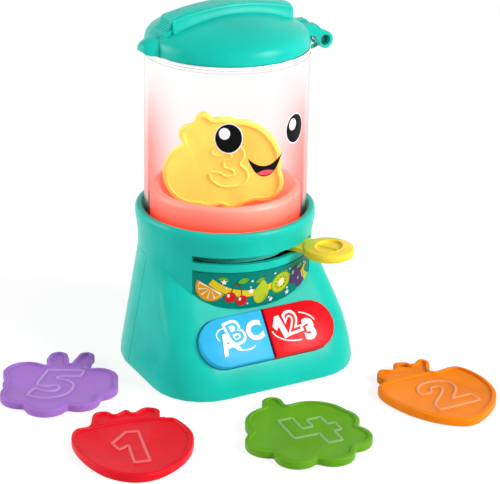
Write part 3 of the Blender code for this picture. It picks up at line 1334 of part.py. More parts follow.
def build_bowl(frosted):
    """The tumbler bowl turns with the shaft and has a thick rounded rim."""
    bottom = jar_foot() + BOWL_LIFT
    rim_top = bottom + BOWL_HEIGHT
    floor_top = bottom + BOWL_FLOOR
    rim = BOWL_RIM / 2
    rim_centre = BOWL_RADIUS - rim
    turns = [math.pi * i / 6 for i in range(7)]
    crest = [(rim_centre + rim * math.cos(t), rim_top - rim + rim * math.sin(t)) for t in turns]
    hub_top = floor_top + BOWL_HUB_HEIGHT
    profile = [(BOWL_RADIUS - BOWL_FLOOR, bottom), (BOWL_RADIUS, bottom + BOWL_FLOOR)]
    profile += crest
    profile += [
        (BOWL_FLOOR_RADIUS + BOWL_FLOOR, floor_top + BOWL_FLOOR),
        (BOWL_FLOOR_RADIUS, floor_top),
        (BOWL_HUB_RADIUS + BOWL_HUB_HEIGHT / 2, floor_top),
        (BOWL_HUB_RADIUS, floor_top + BOWL_HUB_HEIGHT / 2),
        (BOWL_HUB_RADIUS / 2, hub_top),
    ]
    bowl = add_object("tumbler_bowl", turned(profile, 40, closed=False), frosted)
    bore = rod(SHAFT_RADIUS + GAP, bottom - OVERRUN, bottom + SHAFT_IN_BOWL + GAP, 20)
    cut(bowl, add_tool("bowl_bore", bore))
    return bowl


def build_buttons(blue, red, rubber, board_green, dark):
    frame = on_panel()
    gap = BUTTON_DIVIDE / 2
    flange_low = -BUTTON_FLANGE_DEPTH - BUTTON_FLANGE_THICKNESS
    plunger_low = flange_low - PLUNGER_LENGTH
    middle = BUTTON_HALF_LENGTH / 2
    for name, colour, left, right, side in (
        ("button_blue", blue, None, -gap, -1),
        ("button_red", red, gap, None, 1),
    ):
        rings = []
        soft = BUTTON_ROUNDING
        for inset, height in (
            (0.0, flange_low), (0.0, BUTTON_PROUD - soft),
            (soft / 3, BUTTON_PROUD - soft / 3), (soft, BUTTON_PROUD),
        ):
            edge_left = None if left is None else left + inset
            edge_right = None if right is None else right - inset
            outline = stadium(BUTTON_HALF_LENGTH - inset, BUTTON_HALF_HEIGHT - inset, edge_left, edge_right)
            rings.append([(x, y, height) for x, y in outline])
        pivot = frame @ Vector((side * middle, 0.0, 0.0))
        button = add_object(name, loft(rings), colour, pivot, frame)
        flange = stadium(BUTTON_HALF_LENGTH + BUTTON_FLANGE, BUTTON_HALF_HEIGHT + BUTTON_FLANGE, left, right)
        join(button, add_tool(f"{name}_flange", prism(flange, flange_low, -BUTTON_FLANGE_DEPTH), frame))
        plunger = rod(PLUNGER_RADIUS, plunger_low, flange_low + OVERRUN, 12)
        join(button, add_tool(f"{name}_plunger", plunger, frame @ shifted(side * middle)))
        dome_low = -board_depth() + GAP
        dome = (
            (DOME_RADIUS, dome_low), (DOME_RADIUS, dome_low + DOME_HEIGHT / 3),
            (DOME_RADIUS / 2, dome_low + DOME_HEIGHT),
        )
        place = frame @ shifted(side * middle)
        dome_name = name.replace("button", "rubber_dome")
        add_object(dome_name, turned(dome, 16, closed=False), rubber, matrix=place)
    top = -board_depth()
    board = block(
        (-BUTTON_BOARD_HALF_LENGTH, -BUTTON_BOARD_LOW, top - BOARD_THICKNESS),
        (BUTTON_BOARD_HALF_LENGTH, BUTTON_BOARD_HIGH, top),
    )
    add_object("button_board", board, board_green, matrix=frame)
    chip_top = top - BOARD_THICKNESS - GAP
    chip = rod(CHIP_RADIUS, chip_top - CHIP_HEIGHT, chip_top, 12)
    add_object("sound_chip", chip, dark, matrix=frame @ shifted(BUTTON_HALF_LENGTH * CHIP_PLACE_SHARE))


def smooth_outline(shares, count):
    """A closed curve through hand-picked points, by Catmull-Rom spans."""
    total = len(shares)
    points = []
    for i in range(count):
        place = total * i / count
        span = int(place)
        t = place - span
        p = [shares[(span + k) % total] for k in (-1, 0, 1, 2)]
        weights = (
            -0.5 * t + t * t - 0.5 * t ** 3,
            1.0 - 2.5 * t * t + 1.5 * t ** 3,
            0.5 * t + 2.0 * t * t - 1.5 * t ** 3,
            -0.5 * t * t + 0.5 * t ** 3,
        )
        points.append(tuple(sum(w * q[axis] for w, q in zip(weights, p)) for axis in (0, 1)))
    return [(PIECE_HALF_SIZE * x, PIECE_HALF_SIZE * y) for x, y in points]


def lobed_outline(lobes, count):
    """The farthest edge of a bunch of overlapping circles, in each direction from the middle."""
    points = []
    for i in range(count):
        x, y = polar(1.0, math.tau * i / count)
        farthest = 0.0
        for cx, cy, radius in lobes:
            along = cx * x + cy * y
            inside = radius * radius - (cx * cx + cy * cy - along * along)
            if inside > 0.0:
                farthest = max(farthest, along + math.sqrt(inside))
        points.append((PIECE_HALF_SIZE * farthest * x, PIECE_HALF_SIZE * farthest * y))
    return points


def drawn_in(outline, distance):
    """An outline moved inward along its own normals."""
    count = len(outline)
    result = []
    for i, (x, y) in enumerate(outline):
        before, after = outline[i - 1], outline[(i + 1) % count]
        dx, dy = after[0] - before[0], after[1] - before[1]
        length = math.hypot(dx, dy)
        result.append((x - distance * dy / length, y + distance * dx / length))
    return result


def build_piece(name, outline, material, place):
    """A flat play piece with a raised rim round a shallow face."""
    area = sum(a[0] * b[1] - b[0] * a[1] for a, b in zip(outline, outline[1:] + outline[:1]))
    if area < 0.0:
        outline = list(reversed(outline))
    soft, top = PIECE_ROUNDING, PIECE_THICKNESS
    levels = (
        (soft, 0.0), (0.0, soft), (0.0, top - soft), (soft, top),
        (PIECE_RIM, top), (PIECE_RIM, top - PIECE_DISH),
    )
    rings = [[(x, y, height) for x, y in drawn_in(outline, inset)] for inset, height in levels]
    pivot = place.translation
    return add_object(name, loft(rings), material, pivot, place)


def build_pieces(colours):
    red, orange, yellow, green, purple = colours
    turn = Matrix.Rotation(PIECE_YAW, 4, "Z")
    on_table = {
        "play_piece_1": (smooth_outline(BERRY_SHARES, PIECE_STEPS), red, RED_PLACE),
        "play_piece_2": (smooth_outline(CARROT_SHARES, PIECE_STEPS), orange, ORANGE_PLACE),
        "play_piece_4": (lobed_outline(LEAF_LOBE_SHARES, PIECE_STEPS), green, GREEN_PLACE),
        "play_piece_5": (lobed_outline(GRAPE_LOBE_SHARES, PIECE_STEPS), purple, PURPLE_PLACE),
    }
    for name, (outline, colour, (x, y)) in on_table.items():
        build_piece(name, outline, colour, shifted(x, y) @ turn)
    upright = Matrix.Rotation(math.pi / 2, 4, "X")
    centre = turn @ Vector((0.0, PIECE_THICKNESS / 2, 0.0))
    lemon = lobed_outline(LEMON_LOBE_SHARES, PIECE_STEPS)
    hub_top = jar_foot() + BOWL_LIFT + BOWL_FLOOR + BOWL_HUB_HEIGHT
    height = hub_top + PIECE_STAND - min(y for x, y in lemon)
    place = shifted(centre.x, centre.y, height) @ turn @ upright
    build_piece("play_piece_3", lemon, yellow, place)


def main():
    clear_scene()
    teal = surface("teal_plastic", TEAL)
    clear = surface("clear_plastic", (0.9, 0.95, 0.95), 0.05)
    frosted = surface("frosted_plastic", (0.95, 0.35, 0.3), 0.5)
    yellow = surface("yellow_plastic", YELLOW)
    steel = surface("steel", (0.6, 0.6, 0.62), 0.3, 1.0)
    dark = surface("dark_plastic", (0.03, 0.03, 0.035), 0.5)
    gear_white = surface("gear_plastic", (0.85, 0.85, 0.82), 0.4)
    board_green = surface("circuit_board", (0.02, 0.2, 0.06), 0.5)
    rubber = surface("rubber", (0.2, 0.2, 0.22), 0.8)
    printed = surface("printed_label", (0.005, 0.22, 0.2), 0.4)
    white = surface("light_white", (0.95, 0.95, 0.9), 0.3)
    paper = surface("speaker_paper", (0.08, 0.07, 0.06), 0.9)
    cell = surface("battery_case", (0.25, 0.27, 0.3), 0.3)
    tools = build_housing_tools()
    build_main_housing(teal, tools)
    build_rear_cover(teal, tools)
    build_base_plate(teal)
    build_battery_door(teal, steel)
    build_batteries(steel, cell)
    build_base_screws(steel)
    build_label(printed)
    build_jar(clear)
    build_lid(teal)
    build_hinge_pin(steel)
    build_jar_floor(clear, dark)
    build_light_board(board_green, white)
    build_gear_plate(dark, steel)
    build_shaft(steel)
    build_pinion(gear_white)
    build_idler(gear_white)
    build_lever(yellow)
    build_shield(teal)
    build_bowl(frosted)
    build_buttons(surface("blue_plastic", BLUE), surface("red_plastic", RED), rubber, board_green, dark)
    build_speaker(dark, steel, paper)
    build_power_switch(dark)
    pieces = (
        surface("piece_red", (0.85, 0.02, 0.04)), surface("piece_orange", (1.0, 0.26, 0.02)),
        surface("piece_yellow", (0.95, 0.62, 0.1)), surface("piece_green", (0.13, 0.33, 0.02)),
        surface("piece_purple", (0.4, 0.18, 0.65)),
    )
    build_pieces(pieces)


main()
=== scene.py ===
"""Looks of a toy blender: plastics, printed label, face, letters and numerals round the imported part.

Lengths are metres, +Z is up, the front with the buttons faces -Y, and the base stands on z = 0.
"""
import math

import bmesh
import bpy
from bpy.props import FloatProperty, FloatVectorProperty, PointerProperty
from mathutils import Matrix, Vector


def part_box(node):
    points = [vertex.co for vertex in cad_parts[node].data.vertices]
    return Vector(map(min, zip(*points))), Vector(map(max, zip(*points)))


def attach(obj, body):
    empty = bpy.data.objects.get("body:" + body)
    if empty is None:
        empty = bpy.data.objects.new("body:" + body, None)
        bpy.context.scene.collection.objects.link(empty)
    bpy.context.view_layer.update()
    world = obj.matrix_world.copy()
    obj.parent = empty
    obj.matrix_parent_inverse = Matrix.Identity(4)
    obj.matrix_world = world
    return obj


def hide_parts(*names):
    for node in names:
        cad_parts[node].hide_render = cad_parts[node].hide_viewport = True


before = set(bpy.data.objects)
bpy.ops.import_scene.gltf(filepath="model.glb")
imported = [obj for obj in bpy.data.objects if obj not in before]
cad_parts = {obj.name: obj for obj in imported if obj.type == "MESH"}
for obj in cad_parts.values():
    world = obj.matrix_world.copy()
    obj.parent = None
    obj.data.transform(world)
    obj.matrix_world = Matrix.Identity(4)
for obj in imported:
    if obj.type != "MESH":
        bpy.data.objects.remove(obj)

bl_info = {
    "name": "Toy Blender Looks",
    "version": (1, 0, 0),
    "blender": (4, 5, 0),
    "location": "View3D > Sidebar > Toy Blender",
    "description": "Plastics, prints, numerals and stage for a toy blender",
    "category": "Object",
}

MM = 0.001

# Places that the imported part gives
JAR_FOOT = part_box("jar")[0].z
BOWL_FOOT, BOWL_TOP = (corner.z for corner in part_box("tumbler_bowl"))
FRONT = -math.pi / 2

# Jar, and the frosted lip round its mouth
JAR_FOOT_RADIUS = 49.3 * MM
JAR_TOP_RADIUS = 48.8 * MM
JAR_TOP = 195.2 * MM
JAR_GLOW_START = 4.0 * MM
BOWL_GLOW_START = 8.0 * MM
LIP_STEPS = 144
LIP_GAP = 0.03 * MM
LIP_BAND_HEIGHT = 1.5 * MM
LIP_BAND_RISE = 0.2 * MM
LIP_BAND_THICKNESS = 0.15 * MM
LIP_LINE_DROPS = (1.7 * MM, 3.5 * MM)
LIP_LINE_HEIGHT = 0.16 * MM
LIP_LINE_THICKNESS = 0.2 * MM

# Lid
LID_RADIUS = 49.0 * MM
LID_HEIGHT = 20.7 * MM
LID_FOOT = JAR_TOP + 0.3 * MM
DOME_SHARES = (
    (1.0, 0.04), (0.994, 0.16), (0.978, 0.314), (0.942, 0.435), (0.87, 0.54),
    (0.76, 0.665), (0.6, 0.8), (0.4, 0.915), (0.2, 0.98), (0.0, 1.0),
)

# Cover of the lid's bar; its half widths run from the foot over the groove to the rail's middle
BAR_REACH = 39.0 * MM
BAR_COVER_SHARE = 1.004
BAR_STEPS = 32
BAR_MIDDLE_RISE = 4.8 * MM
BAR_END_RISE = 7.2 * MM
BAR_DROP = 0.03 * MM
BAR_SINK = 0.6 * MM
BAR_WAIST_SHARE = 0.3
BAR_SHOULDER = 1.5 * MM
BAR_HALF_WIDTHS = (9.9 * MM, 8.6 * MM, 8.25 * MM, 6.8 * MM, 5.7 * MM, 5.4 * MM, 4.9 * MM, 2.4 * MM)
RAIL_RISE = 0.9 * MM
RAIL_BEVEL = 0.1 * MM

# Thin steps of the grip at the bar's left end
GRIP_STEPS = 5
GRIP_START = 0.3 * MM
GRIP_PITCH = 0.75 * MM
GRIP_RISE = 5.6 * MM
GRIP_FALL = 1.15 * MM
GRIP_HALF_WIDTH = 7.0 * MM
GRIP_TAPER = 0.2 * MM
GRIP_SOFT = 0.35 * MM
GRIP_BEHIND = 1.2 * MM
GRIP_AHEAD = 0.45 * MM
GRIP_SINK = 0.8 * MM
GRIP_FOOT_REACH = 1.0 * MM
GRIP_EDGE_SHARE = 0.99

# Face on the jar: a curve of the mouth is its level, its rise towards the ends and that rise's power
FACE_CELL = 2.0 * MM
FACE_LIFT = 0.05 * MM
EYE_OUT = 22.3 * MM
EYE_LEVEL = 153.6 * MM
EYE_WHITE_RADIUS = 8.2 * MM
EYE_BLACK_RADIUS = 7.6 * MM
EYE_TALLNESS = 1.12
GLINT_RADIUS = 3.2 * MM
GLINT_LEFT = 2.4 * MM
GLINT_UP = 2.9 * MM
GLINT_TALLNESS = 1.1
SMILE_HALF_WIDTH = 11.4 * MM
SMILE_TOP = (135.4 * MM, 6.0 * MM, 2.0)
SMILE_FOOT = (129.0 * MM, 12.4 * MM, 2.4)
TONGUE_HALF_WIDTH = 5.6 * MM
TONGUE_TOP = (133.0 * MM, -1.4 * MM, 2.0)
TONGUE_FOOT = (129.7 * MM, 1.9 * MM, 2.0)

# Button panel
PANEL_ORIGIN = Vector((0.0, -54.6 * MM, 30.297 * MM))
PANEL_SLOPE = math.radians(52)
PANEL_OUT = Vector((0.0, -math.sin(PANEL_SLOPE), math.cos(PANEL_SLOPE)))
PANEL_UP = Vector((0.0, math.cos(PANEL_SLOPE), math.sin(PANEL_SLOPE)))
BUTTON_TOP = 3.7 * MM
BUTTON_CELL = 60.0 * MM
BUTTON_LIFT = 0.02 * MM
ONE_WIDTH_SHARE = 0.52

# Glyphs in millimetres and degrees: character, place across and up the panel, height, tilt, weight
# of the stroke, and the share of an inner letter in the button's colour
BLUE_GLYPHS = (
    ("A", -27.6, -1.2, 12.5, 14.0, 0.04, 0.0), ("B", -21.2, 4.6, 15.8, 12.0, 0.065, 0.78),
    ("C", -8.9, 3.2, 12.2, 6.0, 0.05, 0.0),
)
RED_GLYPHS = (
    ("1", 7.6, 1.6, 14.6, 12.0, 0.075, 0.0), ("2", 17.0, 3.8, 15.0, 8.0, 0.065, 0.78),
    ("3", 26.6, -2.6, 13.4, 2.0, 0.06, 0.0),
)

# Swirls round the glyphs in millimetres and degrees: middle, radius, squash, first and last angle, tilt
SWIRL_STEPS = 24
SWIRL_HALF_WIDTH = 0.38
BLUE_SWIRLS = ((-21.7, 0.6, 12.6, 0.5, 95, 215, -24), (-21.7, 0.6, 12.6, 0.5, 275, 350, -24))
RED_SWIRLS = ((17.1, 0.4, 14.8, 0.56, 190, 285, -6), (17.6, 1.4, 14.6, 0.56, 15, 72, -6))

# Label under the slot, a leaning band
LABEL_RADIUS = 52.6 * MM
LABEL_TOP = 72.0 * MM
LABEL_FOOT = 28.0 * MM
LABEL_LEAN = 12.5 * MM
LABEL_HALF_ANGLE = math.radians(49)
LABEL_CELL = 2.5 * MM
LABEL_LIFT = 0.02 * MM

# Art on the label in millimetres and degrees, along the band and up from the table. An arc is its
# middle, radius, first and last angle and steps; a leaf its place, length and tilt; a plum or its
# glint its radius, steps, place and tallness; a dot or star its place and size.
LABEL_RIBBONS = (("yellow", (-8, 96, 40, 230, 310), 2.3), ("lime", (24, 36, 25, 48, 122), 2.2))
LEAF_STEPS = 12
LEAF_WIDTH_SHARE = 0.26
LEAF_POWER = 0.8
STALK_HALF_WIDTH = 0.34
ORANGE_PLACE = (-33.6, 61.6)
ORANGE_RADIUS = 9.2
ORANGE_PEEL = 1.5
SEGMENT_TIP = (-33.8, 61.2)
SEGMENT_RADIUS = 7.1
SEGMENT_STARTS = (155, 190, 225, 260, 295)
SEGMENT_SWEEP = 26
CHERRY_PLACES = ((-21.5, 54.5), (-14.0, 51.6))
CHERRY_RADIUS = 3.7
CHERRY_GLINT = 0.9
CHERRY_SHINE = 1.3
CHERRY_STALKS = (((-21.2, 57.4), (-20.2, 61.0)), ((-14.2, 54.6), (-14.6, 59.5)))
CHERRY_JOINT = (-17.4, 64.8)
CHERRY_LEAF = (-17.2, 64.6, 7.4, 16)
PEAR_PLACE = (-0.5, 56.0)
PEAR_HALF_HEIGHT = 8.4
PEAR_HALF_WIDTH = 5.0
PEAR_BELLY = 1.5
PEAR_NECK = 2.7
PEAR_WIDTH_SHARE = 0.95
PEAR_SHADE_ARCS = ((-0.2, 52.6, 4.0, 290, 370, 10), (-1.6, 52.6, 4.4, 366, 298, 10))
PEAR_STALK = ((-0.6, 63.6), (-0.2, 66.0), (0.8, 67.6))
PEAR_STALK_HALF_WIDTH = 0.4
PEAR_LEAF = (0.2, 65.6, 6.2, 200)
KIWI_PLACE = (13.8, 59.4)
KIWI_RADIUS = 7.6
KIWI_FLESH_RADIUS = 6.8
KIWI_MIDDLE_RADIUS = 2.3
KIWI_SEEDS = 10
SEED_RING_RADIUS = 4.1
SEED_RADIUS = 0.5
PLUMS = ((5.6, 30, 26.6, 60.8, 1.12), (4.3, 26, 32.6, 55.4, 1.08))
PLUM_GLINTS = ((1.0, 12, 23.4, 63.2, 1.6), (0.7, 12, 30.2, 57.4, 1.6))
PLUM_LEAF = (26.4, 65.4, 6.0, 14)
LOOSE_LEAF = (-29.0, 67.6, 6.6, -12)
BANANA_ARCS = ((38.6, 60.6, 5.4, 100, 262, 16), (41.4, 60.4, 5.2, 240, 122, 16))
LABEL_DOTS = (
    (-24.4, 61.2, 0.55), (-8.0, 64.8, 0.8), (-8.6, 60.6, 0.5), (7.4, 67.2, 0.7),
    (6.4, 50.4, 0.6), (19.4, 67.2, 0.6), (20.6, 53.6, 0.8), (35.0, 66.4, 0.7), (-9.6, 48.8, 0.6),
)
LABEL_STARS = ((-8.2, 57.6, 2.3), (21.4, 50.4, 1.9), (8.2, 48.6, 1.8), (-25.6, 65.2, 2.0))

# Lip and bar on the lever's thumb pad, as beads
LEVER_REST = math.radians(-56.1)
PAD_REACH = 70.0 * MM
PAD_TOP = 81.4 * MM
PAD_LIP_RADIUS = 8.1 * MM
PAD_LIP_TALLNESS = 1.3
PAD_LIP_BEAD = 0.55 * MM
PAD_LIP_SINK = 0.2 * MM
PAD_BAR_HALF = 5.6 * MM
PAD_BAR_BEAD = 0.7 * MM
PAD_BAR_SINK = 0.9 * MM

# Play pieces
PIECE_HALF_SIZE = 35.0 * MM
PIECE_THICKNESS = 5.0 * MM
PIECE_YAW = math.radians(-28.2)
PIECE_SINK = 1.1 * MM
PIECE_RIM = 2.6 * MM
YELLOW_HEIGHT = 122.12 * MM
EDGE_STEPS = 4
RIM_BEAD = 0.42 * MM
RIM_BEAD_INSET = 0.5 * MM
RIM_BEAD_SINK = 0.14 * MM
RIDGE_BEAD = 1.35 * MM
RIDGE_SINK = 1.3 * MM
NUMERAL_TALLNESS = 0.9

# Inner wall of the rim: steps inward from the rim's own width, and shares of the sink
RIM_WALL = ((-0.6 * MM, 0.0), (-0.2 * MM, 0.12), (0.0, 0.4), (0.1 * MM, 0.9), (0.4 * MM, 1.0))

# Outlines of the play pieces, as shares of half a piece
BERRY_SHARES = (
    (0.62, 0.86), (0.9, 0.42), (0.93, -0.05), (0.78, -0.5), (0.45, -0.9), (0.05, -1.04),
    (-0.4, -0.88), (-0.78, -0.45), (-1.0, 0.05), (-0.98, 0.42), (-0.76, 0.56), (-0.72, 0.98),
    (-0.5, 1.06), (-0.38, 0.96), (-0.2, 1.14), (-0.08, 1.03), (0.1, 1.22), (0.34, 1.16),
    (0.38, 0.88),
)
CARROT_SHARES = (
    (0.42, 0.94), (0.8, 0.6), (0.99, 0.05), (0.88, -0.5), (0.5, -1.0), (0.0, -0.98),
    (-0.5, -0.7), (-0.9, -0.25), (-1.0, 0.1), (-0.86, 0.34), (-0.98, 0.5), (-0.92, 0.76),
    (-0.68, 0.78), (-0.66, 1.02), (-0.42, 1.06), (-0.34, 0.98), (-0.2, 1.2), (-0.04, 1.1),
    (-0.02, 0.72),
)
GRAPE_LOBE_SHARES = (
    (-0.62, 0.4, 0.4), (-0.68, -0.02, 0.3), (-0.62, -0.38, 0.36), (-0.18, -0.64, 0.38),
    (0.36, -0.46, 0.35), (0.62, -0.06, 0.36), (0.6, 0.24, 0.36), (-0.13, 0.9, 0.2),
    (-0.13, 1.04, 0.17), (0.3, 0.86, 0.16), (0.35, 1.06, 0.15), (0.0, 0.1, 0.66),
)
LEAF_LOBE_SHARES = (
    (-0.42, 1.0, 0.18), (-0.36, 0.8, 0.2), (-0.3, 0.3, 0.58), (0.25, 0.4, 0.66), (0.6, 0.42, 0.4),
    (-0.5, -0.32, 0.38), (-0.06, -0.68, 0.36), (0.5, -0.56, 0.38), (0.82, -0.12, 0.36),
    (0.1, -0.1, 0.62),
)
LEMON_LOBE_SHARES = (
    (0.2, 0.0, 0.76), (-0.5, -0.22, 0.58), (-0.55, -0.46, 0.3), (-0.28, -0.56, 0.28),
    (0.1, -0.54, 0.31), (0.64, -0.34, 0.36), (-0.38, 0.72, 0.16), (-0.66, 0.5, 0.15),
    (-0.45, 0.42, 0.3), (-0.05, 0.2, 0.6),
)

# Outline of each play piece by its number: points of a curve, or lobes with their radius
OUTLINE_SHARES = {
    1: BERRY_SHARES, 2: CARROT_SHARES, 3: LEMON_LOBE_SHARES, 4: LEAF_LOBE_SHARES, 5: GRAPE_LOBE_SHARES,
}

# Ridge across the root of the crown, as shares of half a piece
CROWN_ROOT_SHARES = {
    1: ((-0.82, 0.47), (-0.5, 0.64), (-0.15, 0.77), (0.15, 0.85), (0.46, 0.87)),
    2: ((-0.9, 0.24), (-0.66, 0.4), (-0.38, 0.55), (-0.14, 0.66), (0.0, 0.72)),
}

# Chunky numerals, as shares of their own box
NUMERAL_SHARES = {
    "1": (
        (0.0, 0.66), (0.5, 1.0), (0.9, 0.99), (1.0, 0.02), (0.52, 0.0), (0.48, 0.56), (0.16, 0.44),
    ),
    "2": (
        (0.0, 0.66), (0.08, 0.86), (0.3, 0.99), (0.58, 1.0), (0.82, 0.9), (0.9, 0.72), (0.84, 0.56),
        (0.7, 0.42), (0.54, 0.3), (0.52, 0.27), (0.94, 0.27), (0.98, 0.26), (1.0, 0.03), (0.99, 0.0),
        (0.04, 0.0), (0.0, 0.02), (0.02, 0.22), (0.36, 0.46), (0.56, 0.62), (0.58, 0.74), (0.46, 0.8),
        (0.34, 0.76), (0.3, 0.66), (0.26, 0.62), (0.04, 0.62),
    ),
    "3": (
        (0.04, 0.74), (0.12, 0.92), (0.36, 1.0), (0.66, 0.98), (0.86, 0.86), (0.88, 0.68),
        (0.74, 0.54), (0.92, 0.42), (1.0, 0.26), (0.88, 0.08), (0.6, 0.0), (0.26, 0.02),
        (0.04, 0.18), (0.0, 0.34), (0.28, 0.34), (0.4, 0.24), (0.58, 0.24), (0.66, 0.32),
        (0.56, 0.42), (0.36, 0.44), (0.36, 0.62), (0.52, 0.64), (0.58, 0.72), (0.48, 0.8),
        (0.34, 0.78), (0.3, 0.7),
    ),
    "4": (
        (0.02, 1.0), (0.32, 1.0), (0.32, 0.6), (0.54, 0.6), (0.54, 0.86), (0.84, 0.86),
        (0.84, 0.6), (1.0, 0.6), (1.0, 0.34), (0.84, 0.34), (0.84, 0.0), (0.54, 0.0),
        (0.54, 0.34), (0.02, 0.34),
    ),
    "5": (
        (0.06, 1.0), (0.1, 1.0), (0.94, 1.0), (0.97, 0.99), (0.97, 0.8), (0.94, 0.78), (0.44, 0.78),
        (0.42, 0.68), (0.68, 0.66), (0.92, 0.54), (1.0, 0.32), (0.9, 0.1), (0.64, 0.0), (0.3, 0.0),
        (0.02, 0.08), (0.0, 0.12), (0.06, 0.32), (0.1, 0.33), (0.3, 0.25), (0.5, 0.22), (0.66, 0.28),
        (0.66, 0.4), (0.5, 0.46), (0.28, 0.4), (0.1, 0.44), (0.04, 0.48),
    ),
}

# Play pieces on the table: number, word, finish, colour, place in millimetres and the numeral's
# left, right, low and high side in millimetres with its lean and tilt in degrees
TABLE_PIECES = (
    (1, "one", "piece_red", (232, 14, 36), (-107, -98), (-11.5, 6.5, -21, 14, 0, 11)),
    (2, "two", "piece_orange", (250, 134, 0), (80, -120), (-10, 18, -18.5, 14.5, 0, 28)),
    (4, "four", "piece_green", (100, 164, 26), (-18, -127), (-7, 23, -14, 20, 0, 23)),
    (5, "five", "piece_purple", (166, 114, 202), (-115, -12), (-15.2, 9.2, -18, 18, 13, 0)),
)
YELLOW_NUMERAL = (-10, 14, -16, 12, 0, 0)

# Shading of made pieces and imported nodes, and welds in metres and in shares of a letter's size
PIECE_SHARP_ANGLE = math.radians(35)
NODE_SHARP_ANGLE = math.radians(32)
NODE_WELD = 0.01 * MM
LETTER_WELD = 0.0005

# Level of gloss, and how much paler a numeral's raised line is painted: a painted highlight
SHEEN_LEVEL = 0.14
NUMERAL_HIGHLIGHT_SHARE = 0.15
YELLOW_NUMERAL_HIGHLIGHT_SHARE = 0.03

# Noise in waves per metre
FLOW_WAVES = 55.0
GLOSS_WAVES = 300.0
SKIN_WAVES = 2600.0

# Tints of the glow in the jar's wall, in its middle and along its edges: share of the height, strength
MIDDLE_TINTS = ((0.0, 0.38), (1.0, 0.0), (0.25, 0.16), (0.5, 0.06))
EDGE_TINTS = ((0.0, 1.0), (1.0, 0.03), (0.35, 0.9), (0.57, 0.76), (0.78, 0.4))

# Linear colours of the hinge pin, steel, contacts and the slot's shield; the hinge pin's dark teal is
# painted shade of the hole it sits in
HINGE_SHADE_COLOUR = (0.1, 0.27, 0.24)
STEEL_COLOUR = (0.62, 0.62, 0.64)
CONTACT_COLOUR = (0.72, 0.7, 0.62)
# The shield is a paler teal than the housing: painted light inside the lever's slot
SHIELD_PAINTED_LIGHT_COLOUR = (0.12, 0.95, 0.8)

# Printing inks as screen colours
INKS = {
    "black": (10, 10, 12), "white": (252, 252, 252), "pink": (232, 84, 98), "lime": (186, 208, 44),
    "leaf": (112, 178, 48), "red": (214, 34, 40), "yellow": (240, 206, 40), "orange": (240, 160, 26),
    "plum": (92, 52, 112), "cream": (250, 244, 214), "brown": (110, 74, 34), "sky": (130, 212, 206),
}

# Stage in metres; a lamp is its name, place, size and share of the key lamp's power
TABLE_HALF = 4.0
TABLE_DROP = 0.2 * MM
TABLE_GREY = 0.86
TABLE_WHITE = 1.17
TABLE_WHITE_SHARE = 0.68
LAMPS = (("key_lamp", (0.9, -1.35, 0.95), 0.75, 1.0), ("side_lamp", (-1.25, 0.75, 0.55), 0.7, 0.4))
LAMP_AIM = Vector((0.0, 0.0, 0.09))

# Camera, fitted to the photograph
CAMERA_PLACE = Vector((-480.4 * MM, -906.8 * MM, 493.9 * MM))
CAMERA_AZIMUTH = math.radians(-28.78)
CAMERA_ELEVATION = math.radians(22.45)
CAMERA_ROLL = math.radians(-1.05)
CAMERA_NEAR = 0.01
FOCAL_PIXELS = 1815.43
PHOTO_WIDTH_PIXELS = 500
SENSOR_WIDTH = 36.0


def colour_of(red, green, blue):
    """A screen colour from 0 to 255 as the linear colour that a shader takes."""
    shares = []
    for value in (red, green, blue):
        share = value / 255
        shares.append(share / 12.92 if share <= 0.04045 else ((share + 0.055) / 1.055) ** 2.4)
    return tuple(shares)


# Settings that a user would change


class HousingSettings(bpy.types.PropertyGroup):
    colour: FloatVectorProperty(
        name="Colour", description="Plastic of the base, the collar and the lid",
        subtype="COLOR", size=3, min=0.0, max=1.0, default=colour_of(16, 196, 178),
    )
    roughness: FloatProperty(
        name="Roughness", description="How dull the moulded plastic is",
        subtype="FACTOR", min=0.0, max=1.0, default=0.3,
    )


class JarSettings(bpy.types.PropertyGroup):
    glow: FloatVectorProperty(
        name="Glow", description="Colour of the light in the foot of the jar",
        subtype="COLOR", size=3, min=0.0, max=1.0, default=colour_of(255, 96, 70),
    )
    glow_height: FloatProperty(
        name="Glow height", description="Height above the table where the glow has faded out",
        unit="LENGTH", min=0.0, default=176.0 * MM,
    )


class PrintSettings(bpy.types.PropertyGroup):
    film: FloatProperty(
        name="Film", description="Thickness of the print on jar and buttons, and twice that of the label",
        unit="LENGTH", min=0.0, default=0.12 * MM,
    )
    ground: FloatVectorProperty(
        name="Ground", description="Ground colour of the printed label",
        subtype="COLOR", size=3, min=0.0, max=1.0, default=colour_of(2, 134, 122),
    )


class ButtonSettings(bpy.types.PropertyGroup):
    left: FloatVectorProperty(
        name="Left button", description="Colour of the left button",
        subtype="COLOR", size=3, min=0.0, max=1.0, default=colour_of(52, 186, 238),
    )
    right: FloatVectorProperty(
        name="Right button", description="Colour of the right button",
        subtype="COLOR", size=3, min=0.0, max=1.0, default=colour_of(236, 4, 24),
    )


class PieceSettings(bpy.types.PropertyGroup):
    line: FloatProperty(
        name="Numeral line", description="Thickness of the raised line round a numeral",
        unit="LENGTH", min=0.0, default=1.86 * MM,
    )
    rounding: FloatProperty(
        name="Edge rounding", description="Radius of a play piece's edges",
        unit="LENGTH", min=0.0, default=0.9 * MM,
    )


class StageSettings(bpy.types.PropertyGroup):
    key_power: FloatProperty(
        name="Key lamp", description="Power of the soft lamp at the front right",
        unit="POWER", min=0.0, default=28.0,
    )
    sky: FloatProperty(
        name="Sky", description="Strength of the even light from all round",
        min=0.0, default=0.46,
    )


SETTINGS = {
    "toy_housing": HousingSettings, "toy_jar": JarSettings, "toy_print": PrintSettings,
    "toy_buttons": ButtonSettings, "toy_pieces": PieceSettings, "toy_stage": StageSettings,
}


# Finishes


def new_material(name):
    material = bpy.data.materials.new(name)
    material.use_nodes = True
    tree = material.node_tree
    return material, tree, tree.nodes["Principled BSDF"]


def own_coordinates(tree):
    return tree.nodes.new("ShaderNodeTexCoord").outputs["Object"]


